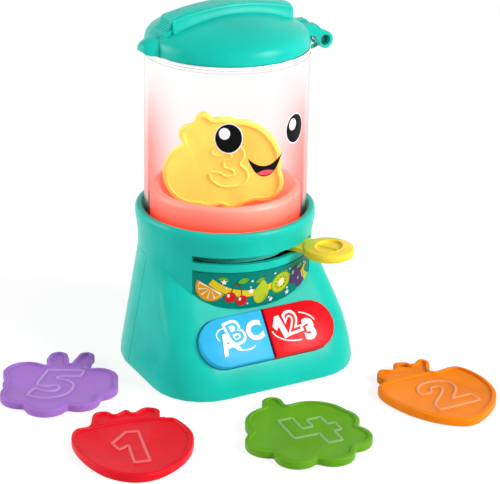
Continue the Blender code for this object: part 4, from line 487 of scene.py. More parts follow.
def noise(tree, scale, detail=3.0):
    """Noise in the piece's own space; scale is in waves per metre."""
    node = tree.nodes.new("ShaderNodeTexNoise")
    node.inputs["Scale"].default_value = scale
    node.inputs["Detail"].default_value = detail
    tree.links.new(own_coordinates(tree), node.inputs["Vector"])
    return node.outputs["Fac"]


def spread(tree, value, low, high, start=0.3, end=0.7):
    """A value taken from one range to another."""
    node = tree.nodes.new("ShaderNodeMapRange")
    node.inputs["From Min"].default_value = start
    node.inputs["From Max"].default_value = end
    node.inputs["To Min"].default_value = low
    node.inputs["To Max"].default_value = high
    tree.links.new(value, node.inputs["Value"])
    return node.outputs["Result"]


def blended(tree, factor, first, second):
    node = tree.nodes.new("ShaderNodeMix")
    node.data_type = "RGBA"
    tree.links.new(factor, node.inputs[0])
    for socket, value in ((node.inputs[6], first), (node.inputs[7], second)):
        if isinstance(value, bpy.types.NodeSocket):
            tree.links.new(value, socket)
        else:
            socket.default_value = (*value, 1.0)
    return node.outputs[2]


def bumped(tree, shader, height, strength, distance):
    node = tree.nodes.new("ShaderNodeBump")
    node.inputs["Strength"].default_value = strength
    node.inputs["Distance"].default_value = distance
    tree.links.new(height, node.inputs["Height"])
    tree.links.new(node.outputs["Normal"], shader.inputs["Normal"])


def calculated(tree, operation, first, second):
    """One step of arithmetic; the second value may be a plain number."""
    node = tree.nodes.new("ShaderNodeMath")
    node.operation = operation
    tree.links.new(first, node.inputs[0])
    if isinstance(second, bpy.types.NodeSocket):
        tree.links.new(second, node.inputs[1])
    else:
        node.inputs[1].default_value = second
    return node.outputs["Value"]


def rays_to_eye(tree, strength):
    """The strength for rays from the camera, off gloss and through clear plastic, and none for others."""
    path = tree.nodes.new("ShaderNodeLightPath")
    seen = calculated(tree, "MAXIMUM", path.outputs["Is Camera Ray"], path.outputs["Is Glossy Ray"])
    seen = calculated(tree, "MAXIMUM", seen, path.outputs["Is Transmission Ray"])
    return calculated(tree, "MULTIPLY", seen, strength)


def two_shaders(tree, share, first, second, output):
    """The first shader, giving way to the second as the share rises to one."""
    mix = tree.nodes.new("ShaderNodeMixShader")
    tree.links.new(share, mix.inputs["Fac"])
    tree.links.new(first, mix.inputs[1])
    tree.links.new(second, mix.inputs[2])
    tree.links.new(mix.outputs["Shader"], tree.nodes[output].inputs["Surface"])


def lighter(colour, share):
    return tuple(value + (1.0 - value) * share for value in colour)


def shade(colour, share):
    return tuple(min(1.0, value * share) for value in colour)


def moulded(name, colour, roughness=0.36, grain=0.06):
    """Injection-moulded plastic: faint flow marks, uneven gloss and a fine skin."""
    material, tree, shader = new_material(name)
    flow = spread(tree, noise(tree, FLOW_WAVES, 2.0), 0.0, 1.0)
    tone = blended(tree, flow, shade(colour, 0.94), shade(colour, 1.05))
    tree.links.new(tone, shader.inputs["Base Color"])
    gloss = spread(tree, noise(tree, GLOSS_WAVES), roughness - 0.03, roughness + 0.04)
    tree.links.new(gloss, shader.inputs["Roughness"])
    bumped(tree, shader, noise(tree, SKIN_WAVES, 2.0), grain, 0.1 * MM)
    shader.inputs["Specular IOR Level"].default_value = SHEEN_LEVEL
    material.diffuse_color = (*colour, 1.0)
    return material


def metal(name, colour, roughness=0.3):
    """Plated steel with fine turned scratches."""
    material, tree, shader = new_material(name)
    shader.inputs["Metallic"].default_value = 1.0
    tone = blended(tree, noise(tree, 240.0), shade(colour, 0.85), shade(colour, 1.1))
    tree.links.new(tone, shader.inputs["Base Color"])
    gloss = spread(tree, noise(tree, 900.0), roughness - 0.08, roughness + 0.12)
    tree.links.new(gloss, shader.inputs["Roughness"])
    bumped(tree, shader, noise(tree, 3000.0, 2.0), 0.08, 0.05 * MM)
    return material


def printed(name, colour, roughness=0.3):
    """Printing ink on a smooth film, with a very slight mottle."""
    material, tree, shader = new_material(name)
    mottle = noise(tree, 420.0, 2.0)
    tone = blended(tree, spread(tree, mottle, 0.0, 1.0), shade(colour, 0.95), shade(colour, 1.04))
    tree.links.new(tone, shader.inputs["Base Color"])
    gloss = spread(tree, mottle, roughness - 0.04, roughness + 0.05)
    tree.links.new(gloss, shader.inputs["Roughness"])
    shader.inputs["Specular IOR Level"].default_value = SHEEN_LEVEL / 2
    return material


def height_share(tree, low, high):
    """Nothing at the low height, one at the high one, in the piece's own space."""
    split = tree.nodes.new("ShaderNodeSeparateXYZ")
    tree.links.new(own_coordinates(tree), split.inputs["Vector"])
    return spread(tree, split.outputs["Z"], 0.0, 1.0, low, high)


def tint_ramp(tree, share, glow, strengths):
    """The glow's tint by height, from the first strength at the foot to the last at the top."""
    ramp = tree.nodes.new("ShaderNodeValToRGB")
    stops = ramp.color_ramp.elements
    for i, (place, strength) in enumerate(strengths):
        stop = stops[i] if i < 2 else stops.new(place)
        stop.position = place
        stop.color = (*[1.0 + (value - 1.0) * strength for value in glow], 1.0)
    tree.links.new(share, ramp.inputs["Fac"])
    return ramp.outputs["Color"]


def clear_plastic(name, glow, low, high):
    """Polished clear plastic, tinted by the light in the jar's foot, most of all along its edges."""
    material, tree, shader = new_material(name)
    share = height_share(tree, low, high)
    middle = tint_ramp(tree, share, glow, MIDDLE_TINTS)
    edge = tint_ramp(tree, share, glow, EDGE_TINTS)
    rim = tree.nodes.new("ShaderNodeLayerWeight")
    rim.inputs["Blend"].default_value = 0.5
    turned_away = spread(tree, rim.outputs["Facing"], 0.0, 1.0, 0.22, 0.86)
    tree.links.new(blended(tree, turned_away, middle, edge), shader.inputs["Base Color"])
    shader.inputs["Transmission Weight"].default_value = 1.0
    shader.inputs["IOR"].default_value = 1.16
    smudge = spread(tree, noise(tree, 90.0), 0.012, 0.05)
    tree.links.new(smudge, shader.inputs["Roughness"])
    through = tree.nodes.new("ShaderNodeBsdfTransparent").outputs["BSDF"]
    shadow = tree.nodes.new("ShaderNodeLightPath").outputs["Is Shadow Ray"]
    two_shaders(tree, shadow, shader.outputs["BSDF"], through, "Material Output")
    return material


def lit_frost(name, colour, glow, low, high):
    """Frosted plastic lit from below."""
    material, tree, shader = new_material(name)
    share = height_share(tree, low, high)
    tone = blended(tree, share, glow, colour)
    tree.links.new(tone, shader.inputs["Base Color"])
    shader.inputs["Subsurface Weight"].default_value = 0.6
    shader.inputs["Subsurface Radius"].default_value = (1.0, 0.35, 0.3)
    shader.inputs["Subsurface Scale"].default_value = 3.0 * MM
    tree.links.new(spread(tree, noise(tree, 500.0), 0.32, 0.5), shader.inputs["Roughness"])
    bumped(tree, shader, noise(tree, 1900.0, 2.0), 0.12, 0.1 * MM)
    shader.inputs["Emission Color"].default_value = (*glow, 1.0)
    tree.links.new(spread(tree, share, 0.4, 0.12, 0.0, 0.9), shader.inputs["Emission Strength"])
    return material


MATERIALS = {}


def finish(name, maker, *arguments, **words):
    """Each finish is made once and shared."""
    if name not in MATERIALS:
        MATERIALS[name] = maker(name, *arguments, **words)
    return MATERIALS[name]


def teal():
    settings = bpy.context.scene.toy_housing
    return finish("teal_plastic", moulded, tuple(settings.colour), settings.roughness)


def ink(word):
    return finish(f"ink_{word}", printed, colour_of(*INKS[word]))


# Forms


def add_piece(name, form, material, body):
    """Turn a built form into a named piece that rides on one body."""
    bmesh.ops.recalc_face_normals(form, faces=form.faces)
    mesh = bpy.data.meshes.new(name)
    form.to_mesh(mesh)
    form.free()
    mesh.materials.append(material)
    mesh.shade_smooth()
    mesh.set_sharp_from_angle(angle=PIECE_SHARP_ANGLE)
    piece = bpy.data.objects.new(name, mesh)
    bpy.context.scene.collection.objects.link(piece)
    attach(piece, body)
    return piece


def dress(name, material):
    """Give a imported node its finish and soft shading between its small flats."""
    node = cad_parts[name]
    mesh = node.data
    mesh.materials.clear()
    mesh.materials.append(material)
    if "custom_normal" in mesh.attributes:
        mesh.attributes.remove(mesh.attributes["custom_normal"])
    mesh.polygons.foreach_set("use_smooth", [True] * len(mesh.polygons))
    weld = node.modifiers.new("Weld", "WELD")
    weld.merge_threshold = NODE_WELD
    crease = node.modifiers.new("Crease", "EDGE_SPLIT")
    crease.split_angle = NODE_SHARP_ANGLE
    return node


def polar(radius, angle):
    return radius * math.cos(angle), radius * math.sin(angle)


def circle(radius, steps, x=0.0, y=0.0, tallness=1.0):
    return arc(x, y, radius, 0.0, 360.0, steps, tallness)[:-1]


def arc(x, y, radius, start, end, steps=14, tallness=1.0):
    """Points from one angle to another, both in degrees."""
    points = []
    for i in range(steps + 1):
        u, v = polar(radius, math.radians(start + (end - start) * i / steps))
        points.append((x + u, y + v * tallness))
    return points


def turned(x, y, degrees):
    c, s = polar(1.0, math.radians(degrees))
    return c * x - s * y, s * x + c * y


def in_metres(outline):
    return [(x * MM, y * MM) for x, y in outline]


def ribbon(points, half_width):
    """A flat band along a line."""
    left, right = [], []
    for i, (x, y) in enumerate(points):
        before, after = points[max(i - 1, 0)], points[min(i + 1, len(points) - 1)]
        dx, dy = after[0] - before[0], after[1] - before[1]
        length = math.hypot(dx, dy)
        left.append((x - half_width * dy / length, y + half_width * dx / length))
        right.append((x + half_width * dy / length, y - half_width * dx / length))
    return left + right[::-1]


def flat_shape(outline):
    """A flat face from a closed outline."""
    form = bmesh.new()
    points = [form.verts.new((x, y, 0.0)) for x, y in outline]
    for first, second in zip(points, points[1:] + points[:1]):
        form.edges.new((first, second))
    bmesh.ops.triangle_fill(form, use_beauty=True, use_dissolve=False, edges=form.edges[:])
    return form


def film(form, thickness, wrap, cell, lift):
    """Cut a flat shape into narrow cells, give it a thickness and wrap it onto a surface."""
    for axis in (0, 1):
        values = [v.co[axis] for v in form.verts]
        normal = Vector((1.0, 0.0, 0.0)) if axis == 0 else Vector((0.0, 1.0, 0.0))
        for k in range(math.ceil(min(values) / cell), math.floor(max(values) / cell) + 1):
            everything = form.verts[:] + form.edges[:] + form.faces[:]
            bmesh.ops.bisect_plane(form, geom=everything, plane_co=normal * (k * cell), plane_no=normal)
    grown = bmesh.ops.extrude_face_region(form, geom=form.faces[:], use_keep_orig=True)["geom"]
    for item in grown:
        if isinstance(item, bmesh.types.BMVert):
            item.co.z += thickness
    for v in form.verts:
        v.co = Vector(wrap(v.co.x, v.co.y, v.co.z + lift))
    return form


def jar_radius(height):
    share = (height - JAR_FOOT) / (JAR_TOP - JAR_FOOT)
    return JAR_FOOT_RADIUS + (JAR_TOP_RADIUS - JAR_FOOT_RADIUS) * share


def on_jar(x, y, out):
    """Arc length from the jar's front and height, onto the jar's outside."""
    radius = jar_radius(y)
    u, v = polar(radius + out, FRONT + x / radius)
    return u, v, y


def on_label(x, y, out):
    """Arc length from the front and height, onto the leaning label."""
    angle = FRONT + x / LABEL_RADIUS
    down = min(max((LABEL_TOP - y) / (LABEL_TOP - LABEL_FOOT), 0.0), 1.0)
    lean = math.cos(min(abs(angle - FRONT) / LABEL_HALF_ANGLE, 1.0) * math.pi / 2)
    u, v = polar(LABEL_RADIUS - LABEL_LEAN * down * lean + out, angle)
    return u, v, y


def on_buttons(x, y, out):
    """Place across and up the panel, onto the buttons' top."""
    return tuple(PANEL_ORIGIN + Vector((x, 0.0, 0.0)) + PANEL_UP * y + PANEL_OUT * (BUTTON_TOP + out))


def rounded(outline):
    """A closed outline with its corners cut."""
    points = []
    for (x0, y0), (x1, y1) in zip(outline, outline[1:] + outline[:1]):
        points.append((0.75 * x0 + 0.25 * x1, 0.75 * y0 + 0.25 * y1))
        points.append((0.25 * x0 + 0.75 * x1, 0.25 * y0 + 0.75 * y1))
    return points


def smooth_outline(shares, count):
    """A closed curve through points given as shares of half a piece."""
    total = len(shares)
    points = []
    for i in range(count):
        place = total * i / count
        span = int(place)
        t = place - span
        p = [shares[(span + k) % total] for k in (-1, 0, 1, 2)]
        weights = (
            -0.5 * t + t * t - 0.5 * t ** 3,
            1.0 - 2.5 * t * t + 1.5 * t ** 3,
            0.5 * t + 2.0 * t * t - 1.5 * t ** 3,
            -0.5 * t * t + 0.5 * t ** 3,
        )
        points.append(tuple(sum(w * q[axis] for w, q in zip(weights, p)) for axis in (0, 1)))
    return [(PIECE_HALF_SIZE * x, PIECE_HALF_SIZE * y) for x, y in points]


def lobed_outline(lobes, count):
    """The farthest edge of overlapping circles given as shares of half a piece."""
    points = []
    for i in range(count):
        x, y = polar(1.0, math.tau * i / count)
        farthest = 0.0
        for cx, cy, radius in lobes:
            along = cx * x + cy * y
            inside = radius * radius - (cx * cx + cy * cy - along * along)
            if inside > 0.0:
                farthest = max(farthest, along + math.sqrt(inside))
        points.append((PIECE_HALF_SIZE * farthest * x, PIECE_HALF_SIZE * farthest * y))
    return points


def evened(outline, count):
    """The same outline with points an equal way apart."""
    closed = outline + outline[:1]
    lengths = [0.0]
    for first, second in zip(closed[:-1], closed[1:]):
        lengths.append(lengths[-1] + math.dist(first, second))
    points, span = [], 0
    for i in range(count):
        along = lengths[-1] * i / count
        while lengths[span + 1] < along:
            span += 1
        share = (along - lengths[span]) / (lengths[span + 1] - lengths[span])
        (x0, y0), (x1, y1) = closed[span], closed[span + 1]
        points.append((x0 + (x1 - x0) * share, y0 + (y1 - y0) * share))
    return points


def relaxed(outline, times):
    """Each point drawn towards the middle of its neighbours."""
    for _ in range(times):
        neighbours = zip(outline[-1:] + outline[:-1], outline, outline[1:] + outline[:1])
        outline = [
            tuple(0.25 * before[k] + 0.5 * point[k] + 0.25 * after[k] for k in (0, 1))
            for before, point, after in neighbours
        ]
    return outline


def anticlockwise(outline):
    area = sum(a[0] * b[1] - b[0] * a[1] for a, b in zip(outline, outline[1:] + outline[:1]))
    return outline[::-1] if area < 0.0 else outline


def drawn_in(outline, distance):
    """An outline moved inward along its own normals."""
    count = len(outline)
    result = []
    for i, (x, y) in enumerate(outline):
        before, after = outline[i - 1], outline[(i + 1) % count]
        dx, dy = after[0] - before[0], after[1] - before[1]
        length = math.hypot(dx, dy)
        result.append((x - distance * dy / length, y + distance * dx / length))
    return result


def lofted(rings, closed=False):
    """Quads from ring to ring, with a face on each end or back to the first ring."""
    form = bmesh.new()
    rows = [[form.verts.new(point) for point in ring] for ring in rings]
    following = rows[1:] + rows[:1] if closed else rows[1:]
    for lower, upper in zip(rows, following):
        count = len(lower)
        for i in range(count):
            j = (i + 1) % count
            form.faces.new((lower[i], lower[j], upper[j], upper[i]))
    if not closed:
        form.faces.new(rows[0][::-1])
        form.faces.new(rows[-1])
    return form


def tube_along(points, radius, closed=True, squash=1.0, steps=8):
    """A thin round bead along a line of flat points."""
    count = len(points)
    rings = []
    for i, (x, y) in enumerate(points):
        before = points[i - 1] if closed or i > 0 else points[i]
        after = points[(i + 1) % count] if closed or i < count - 1 else points[i]
        dx, dy = after[0] - before[0], after[1] - before[1]
        length = math.hypot(dx, dy)
        ring = []
        for k in range(steps):
            across, up = polar(radius, math.tau * k / steps)
            ring.append((x + across * dy / length, y - across * dx / length, up * squash))
        rings.append(ring)
    return lofted(rings, closed)


def placed(form, matrix):
    bmesh.ops.transform(form, matrix=matrix, verts=form.verts)
    return form


def raised(height):
    return Matrix.Translation((0.0, 0.0, height))


def merged(forms):
    """Several forms as one."""
    whole = bmesh.new()
    for form in forms:
        mesh = bpy.data.meshes.new("part")
        form.to_mesh(mesh)
        form.free()
        whole.from_mesh(mesh)
        bpy.data.meshes.remove(mesh)
    return whole


def letter_form(character, height, weight):
    """One plain capital or numeral as a flat face, its middle on the origin."""
    curve = bpy.data.curves.new("letter", "FONT")
    curve.body = character
    curve.size = 1.0
    curve.dimensions = "2D"
    curve.fill_mode = "FRONT"
    curve.offset = weight
    curve.resolution_u = 6
    item = bpy.data.objects.new("letter", curve)
    bpy.context.scene.collection.objects.link(item)
    graph = bpy.context.evaluated_depsgraph_get()
    mesh = bpy.data.meshes.new_from_object(item.evaluated_get(graph))
    form = bmesh.new()
    form.from_mesh(mesh)
    bpy.data.meshes.remove(mesh)
    bpy.data.objects.remove(item)
    bpy.data.curves.remove(curve)
    bmesh.ops.remove_doubles(form, verts=form.verts, dist=LETTER_WELD)
    low = Vector((min(v.co.x for v in form.verts), min(v.co.y for v in form.verts), 0.0))
    high = Vector((max(v.co.x for v in form.verts), max(v.co.y for v in form.verts), 0.0))
    middle, scale = (low + high) / 2, height / (high.y - low.y)
    for v in form.verts:
        v.co = (v.co - middle) * scale
        v.co.z = 0.0
    return form


def turned_flat(form, x, y, tilt):
    return placed(form, Matrix.Translation((x, y, 0.0)) @ Matrix.Rotation(math.radians(tilt), 4, "Z"))


def dome_height(radius):
    """The level of the lid's dome at a distance from its middle."""
    points = [(LID_RADIUS * out, LID_FOOT + LID_HEIGHT * up) for out, up in DOME_SHARES]
    for (r0, z0), (r1, z1) in zip(points[:-1], points[1:]):
        if r1 <= radius <= r0:
            return z0 + (z1 - z0) * (r0 - radius) / (r0 - r1)
    return points[0][1]


# One operator for each piece or group of like pieces, and one for the stage


class TOY_OT_housing(bpy.types.Operator):
    """Front housing, rear cover, base plate and battery door in teal plastic, and the slot's shield in a
    paler teal, painted light
    """

    bl_idname = "toy_blender.housing"
    bl_label = "Housing"
    bl_options = {"REGISTER", "UNDO"}

    def execute(self, context):
        for name in ("main_housing", "rear_cover", "base_plate", "battery_door"):
            dress(name, teal())
        dress("slot_shield", finish("shield_teal", moulded, SHIELD_PAINTED_LIGHT_COLOUR, roughness=0.5))
        return {"FINISHED"}


class TOY_OT_lid(bpy.types.Operator):
    """Lid with the cover of its bar and the steps of its grip, and the hinge pin"""

    bl_idname = "toy_blender.lid"
    bl_label = "Lid"
    bl_options = {"REGISTER", "UNDO"}

    def bar_top(self, x):
        """The level of the bar's top, an arc from end to end."""
        end = dome_height(BAR_REACH) + BAR_END_RISE
        peak = dome_height(0.0) + BAR_MIDDLE_RISE
        return peak + (end - peak) * (x / BAR_REACH) ** 2

    def bar(self):
        """Cover of the bar: flared sides, and a rail that rises out of its top towards both ends."""
        rings = []
        for i in range(BAR_STEPS + 1):
            x = BAR_REACH * BAR_COVER_SHARE * (2 * i / BAR_STEPS - 1)
            top, foot = self.bar_top(x) - BAR_DROP, dome_height(abs(x)) - BAR_SINK
            waist = foot + BAR_WAIST_SHARE * (top - foot)
            rail = top + RAIL_RISE * (x / BAR_REACH) ** 2
            levels = (foot, waist, top - BAR_SHOULDER, top, top, rail - RAIL_BEVEL, rail, rail)
            side = list(zip(BAR_HALF_WIDTHS, levels))
            rings.append([(x, y, z) for y, z in side] + [(x, -y, z) for y, z in reversed(side)])
        return lofted(rings)

    def grip(self):
        """Thin steps stacked on the bar's left end."""
        steps = []
        for i in range(GRIP_STEPS):
            out = BAR_REACH + GRIP_START + GRIP_PITCH * i
            top = dome_height(BAR_REACH) + GRIP_RISE - GRIP_FALL * i
            foot = dome_height(min(out + GRIP_FOOT_REACH, LID_RADIUS * GRIP_EDGE_SHARE)) - GRIP_SINK
            half = GRIP_HALF_WIDTH - GRIP_TAPER * i
            right, left = GRIP_BEHIND - out, -GRIP_AHEAD - out
            rings = []
            for inset, z in ((0.0, foot), (0.0, top - GRIP_SOFT), (GRIP_SOFT, top)):
                rings.append([
                    (right, -half + inset, z), (right, half - inset, z),
                    (left + inset, half - inset, z), (left + inset, -half + inset, z),
                ])
            steps.append(lofted(rings))
        return merged(steps)

    def execute(self, context):
        dress("lid", teal())
        # The hinge pin is metal in a dark teal: painted shade of the hole round it
        dress("hinge_pin", finish("hinge_steel", metal, HINGE_SHADE_COLOUR, roughness=0.5))
        add_piece("lid_grip_ribs", self.grip(), teal(), "lid_body")
        add_piece("lid_bar_cap", self.bar(), teal(), "lid_body")
        return {"FINISHED"}


class TOY_OT_jar(bpy.types.Operator):
    """Clear jar with the glow that rises from its foot, its frosted lip, its floor and the bush"""

    bl_idname = "toy_blender.jar"
    bl_label = "Jar"
    bl_options = {"REGISTER", "UNDO"}

    def band(self, low, high, thickness):
        """Thin ring round the jar."""
        rings = []
        for out, z in ((0.0, low), (thickness, low), (thickness, high), (0.0, high)):
            radius = jar_radius(z) + LIP_GAP + out
            rings.append([(x, y, z) for x, y in circle(radius, LIP_STEPS)])
        return lofted(rings, closed=True)

    def execute(self, context):
        settings = context.scene.toy_jar
        glow, low, high = tuple(settings.glow), JAR_FOOT + JAR_GLOW_START, settings.glow_height
        dress("jar", finish("clear_plastic", clear_plastic, glow, low, high))
        frost = finish("lip_frost", moulded, colour_of(250, 250, 250), roughness=0.3)
        frost_line = finish("lip_line", moulded, colour_of(205, 208, 208), roughness=0.3)
        band = self.band(JAR_TOP - LIP_BAND_HEIGHT, JAR_TOP + LIP_BAND_RISE, LIP_BAND_THICKNESS)
        add_piece("jar_lip_band", band, frost, "base")
        for i, drop in enumerate(LIP_LINE_DROPS):
            level = JAR_TOP - drop
            line = self.band(level - LIP_LINE_HEIGHT, level, LIP_LINE_THICKNESS)
            add_piece(f"jar_lip_line_{i + 1}", line, frost_line, "base")
        dress("jar_floor", finish("floor_plastic", moulded, colour_of(255, 150, 140), roughness=0.4))
        dress("shaft_bush", finish("bush_plastic", moulded, colour_of(60, 60, 64), roughness=0.45))
        return {"FINISHED"}


class TOY_OT_bowl(bpy.types.Operator):
    """Frosted tumbler bowl, lit red from below"""

    bl_idname = "toy_blender.bowl"
    bl_label = "Tumbler bowl"
    bl_options = {"REGISTER", "UNDO"}

    def execute(self, context):
        glow, pale = tuple(context.scene.toy_jar.glow), colour_of(255, 160, 147)
        frost = finish("frosted_plastic", lit_frost, pale, glow, BOWL_FOOT + BOWL_GLOW_START, BOWL_TOP)
        dress("tumbler_bowl", frost)
        return {"FINISHED"}


class TOY_OT_face(bpy.types.Operator):
    """Plain smiling face printed on the front of the jar"""

    bl_idname = "toy_blender.face"
    bl_label = "Face"
    bl_options = {"REGISTER", "UNDO"}

    def mouth(self, half_width, steps, there, back):
        """A closed outline, along one curve to the right and along the other back."""
        points = []
        for (level, rise, power), way, skipped in ((there, 1, 0), (back, -1, 1)):
            for i in range(skipped, steps + 1 - skipped):
                share = way * (2 * i / steps - 1)
                points.append((half_width * share, level + rise * abs(share) ** power))
        return points

    def execute(self, context):
        thin = context.scene.toy_print.film
        shapes = []
        for x in (-EYE_OUT, EYE_OUT):
            shapes.append(("white", 0, circle(EYE_WHITE_RADIUS, 40, x, EYE_LEVEL, EYE_TALLNESS)))
            shapes.append(("black", 1, circle(EYE_BLACK_RADIUS, 40, x, EYE_LEVEL, EYE_TALLNESS)))
            glint = circle(GLINT_RADIUS, 28, x - GLINT_LEFT, EYE_LEVEL + GLINT_UP, GLINT_TALLNESS)
            shapes.append(("white", 2, glint))
        shapes.append(("black", 1, self.mouth(SMILE_HALF_WIDTH, 16, SMILE_TOP, SMILE_FOOT)))
        shapes.append(("pink", 2, self.mouth(TONGUE_HALF_WIDTH, 12, TONGUE_FOOT, TONGUE_TOP)))
        for i, (colour, layer, outline) in enumerate(shapes):
            form = film(flat_shape(outline), thin, on_jar, FACE_CELL, FACE_LIFT + layer * thin)
            add_piece(f"face_print_{i + 1}", form, ink(colour), "base")
        return {"FINISHED"}


class TOY_OT_label(bpy.types.Operator):
    """Printed panel with fruit under the lever's slot"""

    bl_idname = "toy_blender.label"
    bl_label = "Label"
    bl_options = {"REGISTER", "UNDO"}

    def leaf(self, x, y, length, tilt):
        """A pointed leaf from its stalk."""
        edge = []
        for i in range(LEAF_STEPS + 1):
            share = i / LEAF_STEPS
            wide = LEAF_WIDTH_SHARE * math.sin(math.pi * share) ** LEAF_POWER
            edge.append((length * share, length * wide))
        outline = edge[:-1] + [(u, -v) for u, v in edge[:0:-1]]
        return [(x + u, y + v) for u, v in (turned(u, v, tilt) for u, v in outline)]

    def orange(self):
        """Half a slice with its peel and segments."""
        art = [
            ("orange", 1, arc(*ORANGE_PLACE, ORANGE_RADIUS, 150, 330)),
            ("cream", 2, arc(*ORANGE_PLACE, ORANGE_RADIUS - ORANGE_PEEL, 150, 330)),
        ]
        for start in SEGMENT_STARTS:
            edge = arc(*SEGMENT_TIP, SEGMENT_RADIUS, start, start + SEGMENT_SWEEP, 6)
            art.append(("orange", 3, edge + [SEGMENT_TIP]))
        return art

    def cherries(self):
        """Two cherries whose stalks meet under a leaf."""
        art = []
        for x, y in CHERRY_PLACES:
            art.append(("red", 2, circle(CHERRY_RADIUS, 26, x, y)))
            art.append(("cream", 3, circle(CHERRY_GLINT, 12, x - CHERRY_SHINE, y + CHERRY_SHINE, 1.4)))
        for stalk in CHERRY_STALKS:
            art.append(("brown", 1, ribbon([*stalk, CHERRY_JOINT], STALK_HALF_WIDTH)))
        return art + [("leaf", 2, self.leaf(*CHERRY_LEAF))]

    def pear(self):
        """A pear that narrows upwards, shaded at the lower right, with a stalk and a leaf."""
        x, y = PEAR_PLACE
        body = []
        for i in range(36):
            across, up = math.sin(math.tau * i / 36), math.cos(math.tau * i / 36)
            wide = PEAR_HALF_WIDTH + PEAR_BELLY * (1 - up) / 2 - PEAR_NECK * max(up, 0.0) ** 1.2
            body.append((x + wide * across * PEAR_WIDTH_SHARE, y + PEAR_HALF_HEIGHT * up))
        outer, inner = PEAR_SHADE_ARCS
        return [
            ("lime", 2, body), ("leaf", 3, arc(*outer) + arc(*inner)),
            ("brown", 1, ribbon(PEAR_STALK, PEAR_STALK_HALF_WIDTH)), ("leaf", 2, self.leaf(*PEAR_LEAF)),
        ]

    def kiwi(self):
        """A slice with a pale middle and a ring of seeds."""
        x, y = KIWI_PLACE
        art = [
            ("leaf", 1, circle(KIWI_RADIUS, 34, x, y)), ("lime", 2, circle(KIWI_FLESH_RADIUS, 34, x, y)),
            ("cream", 3, circle(KIWI_MIDDLE_RADIUS, 20, x, y, 1.2)),
        ]
        for u, v in circle(SEED_RING_RADIUS, KIWI_SEEDS, x, y):
            art.append(("brown", 3, circle(SEED_RADIUS, 8, u, v)))
        return art

    def plums_and_banana(self):
        outer, inner = BANANA_ARCS
        return [
            *(("plum", 2, circle(*plum)) for plum in PLUMS),
            *(("sky", 3, circle(*glint)) for glint in PLUM_GLINTS),
            ("leaf", 3, self.leaf(*PLUM_LEAF)), ("leaf", 1, self.leaf(*LOOSE_LEAF)),
            ("yellow", 2, arc(*outer) + arc(*inner)),
        ]

    def dots_and_stars(self):
        art = [("white", 3, circle(size, 12, x, y)) for x, y, size in LABEL_DOTS]
        for x, y, size in LABEL_STARS:
            corners = [polar(size * (1.0 if k % 2 else 0.5), math.radians(54 + 36 * k)) for k in range(10)]
            art.append(("white", 3, [(x + u, y + v) for u, v in corners]))
        return art

    def execute(self, context):
        settings = context.scene.toy_print
        dress("label_panel", finish("label_ground", printed, tuple(settings.ground)))
        thin = settings.film / 2
        art = [(colour, 0, ribbon(arc(*curve), half)) for colour, curve, half in LABEL_RIBBONS]
        art += self.orange() + self.cherries() + self.pear() + self.kiwi()
        art += self.plums_and_banana() + self.dots_and_stars()
        by_ink = {}
        for colour, layer, outline in art:
            flat, level = flat_shape(in_metres(outline)), LABEL_LIFT + layer * thin
            form = film(flat, thin, on_label, LABEL_CELL, level)
            by_ink.setdefault(colour, []).append(form)
        for colour, forms in by_ink.items():
            add_piece(f"label_print_{colour}", merged(forms), ink(colour), "base")
        return {"FINISHED"}


class TOY_OT_lever(bpy.types.Operator):
    """Yellow lever with the lip and the bar of its thumb pad"""

    bl_idname = "toy_blender.lever"
    bl_label = "Lever"
    bl_options = {"REGISTER", "UNDO"}

    def execute(self, context):
        yellow = finish("yellow_plastic", moulded, colour_of(250, 222, 62), roughness=0.3)
        dress("lever", yellow)
        place = Matrix.Rotation(LEVER_REST, 4, "Z") @ Matrix.Translation((PAD_REACH, 0.0, PAD_TOP))
        lip = tube_along(circle(PAD_LIP_RADIUS, 60, tallness=PAD_LIP_TALLNESS), PAD_LIP_BEAD)
        bar = tube_along([(-PAD_BAR_HALF, 0.0), (PAD_BAR_HALF, 0.0)], PAD_BAR_BEAD, closed=False)
        beads = [placed(lip, place @ raised(-PAD_LIP_SINK)), placed(bar, place @ raised(-PAD_BAR_SINK))]
        add_piece("lever_pad_lip", merged(beads), yellow, "lever_body")
        return {"FINISHED"}


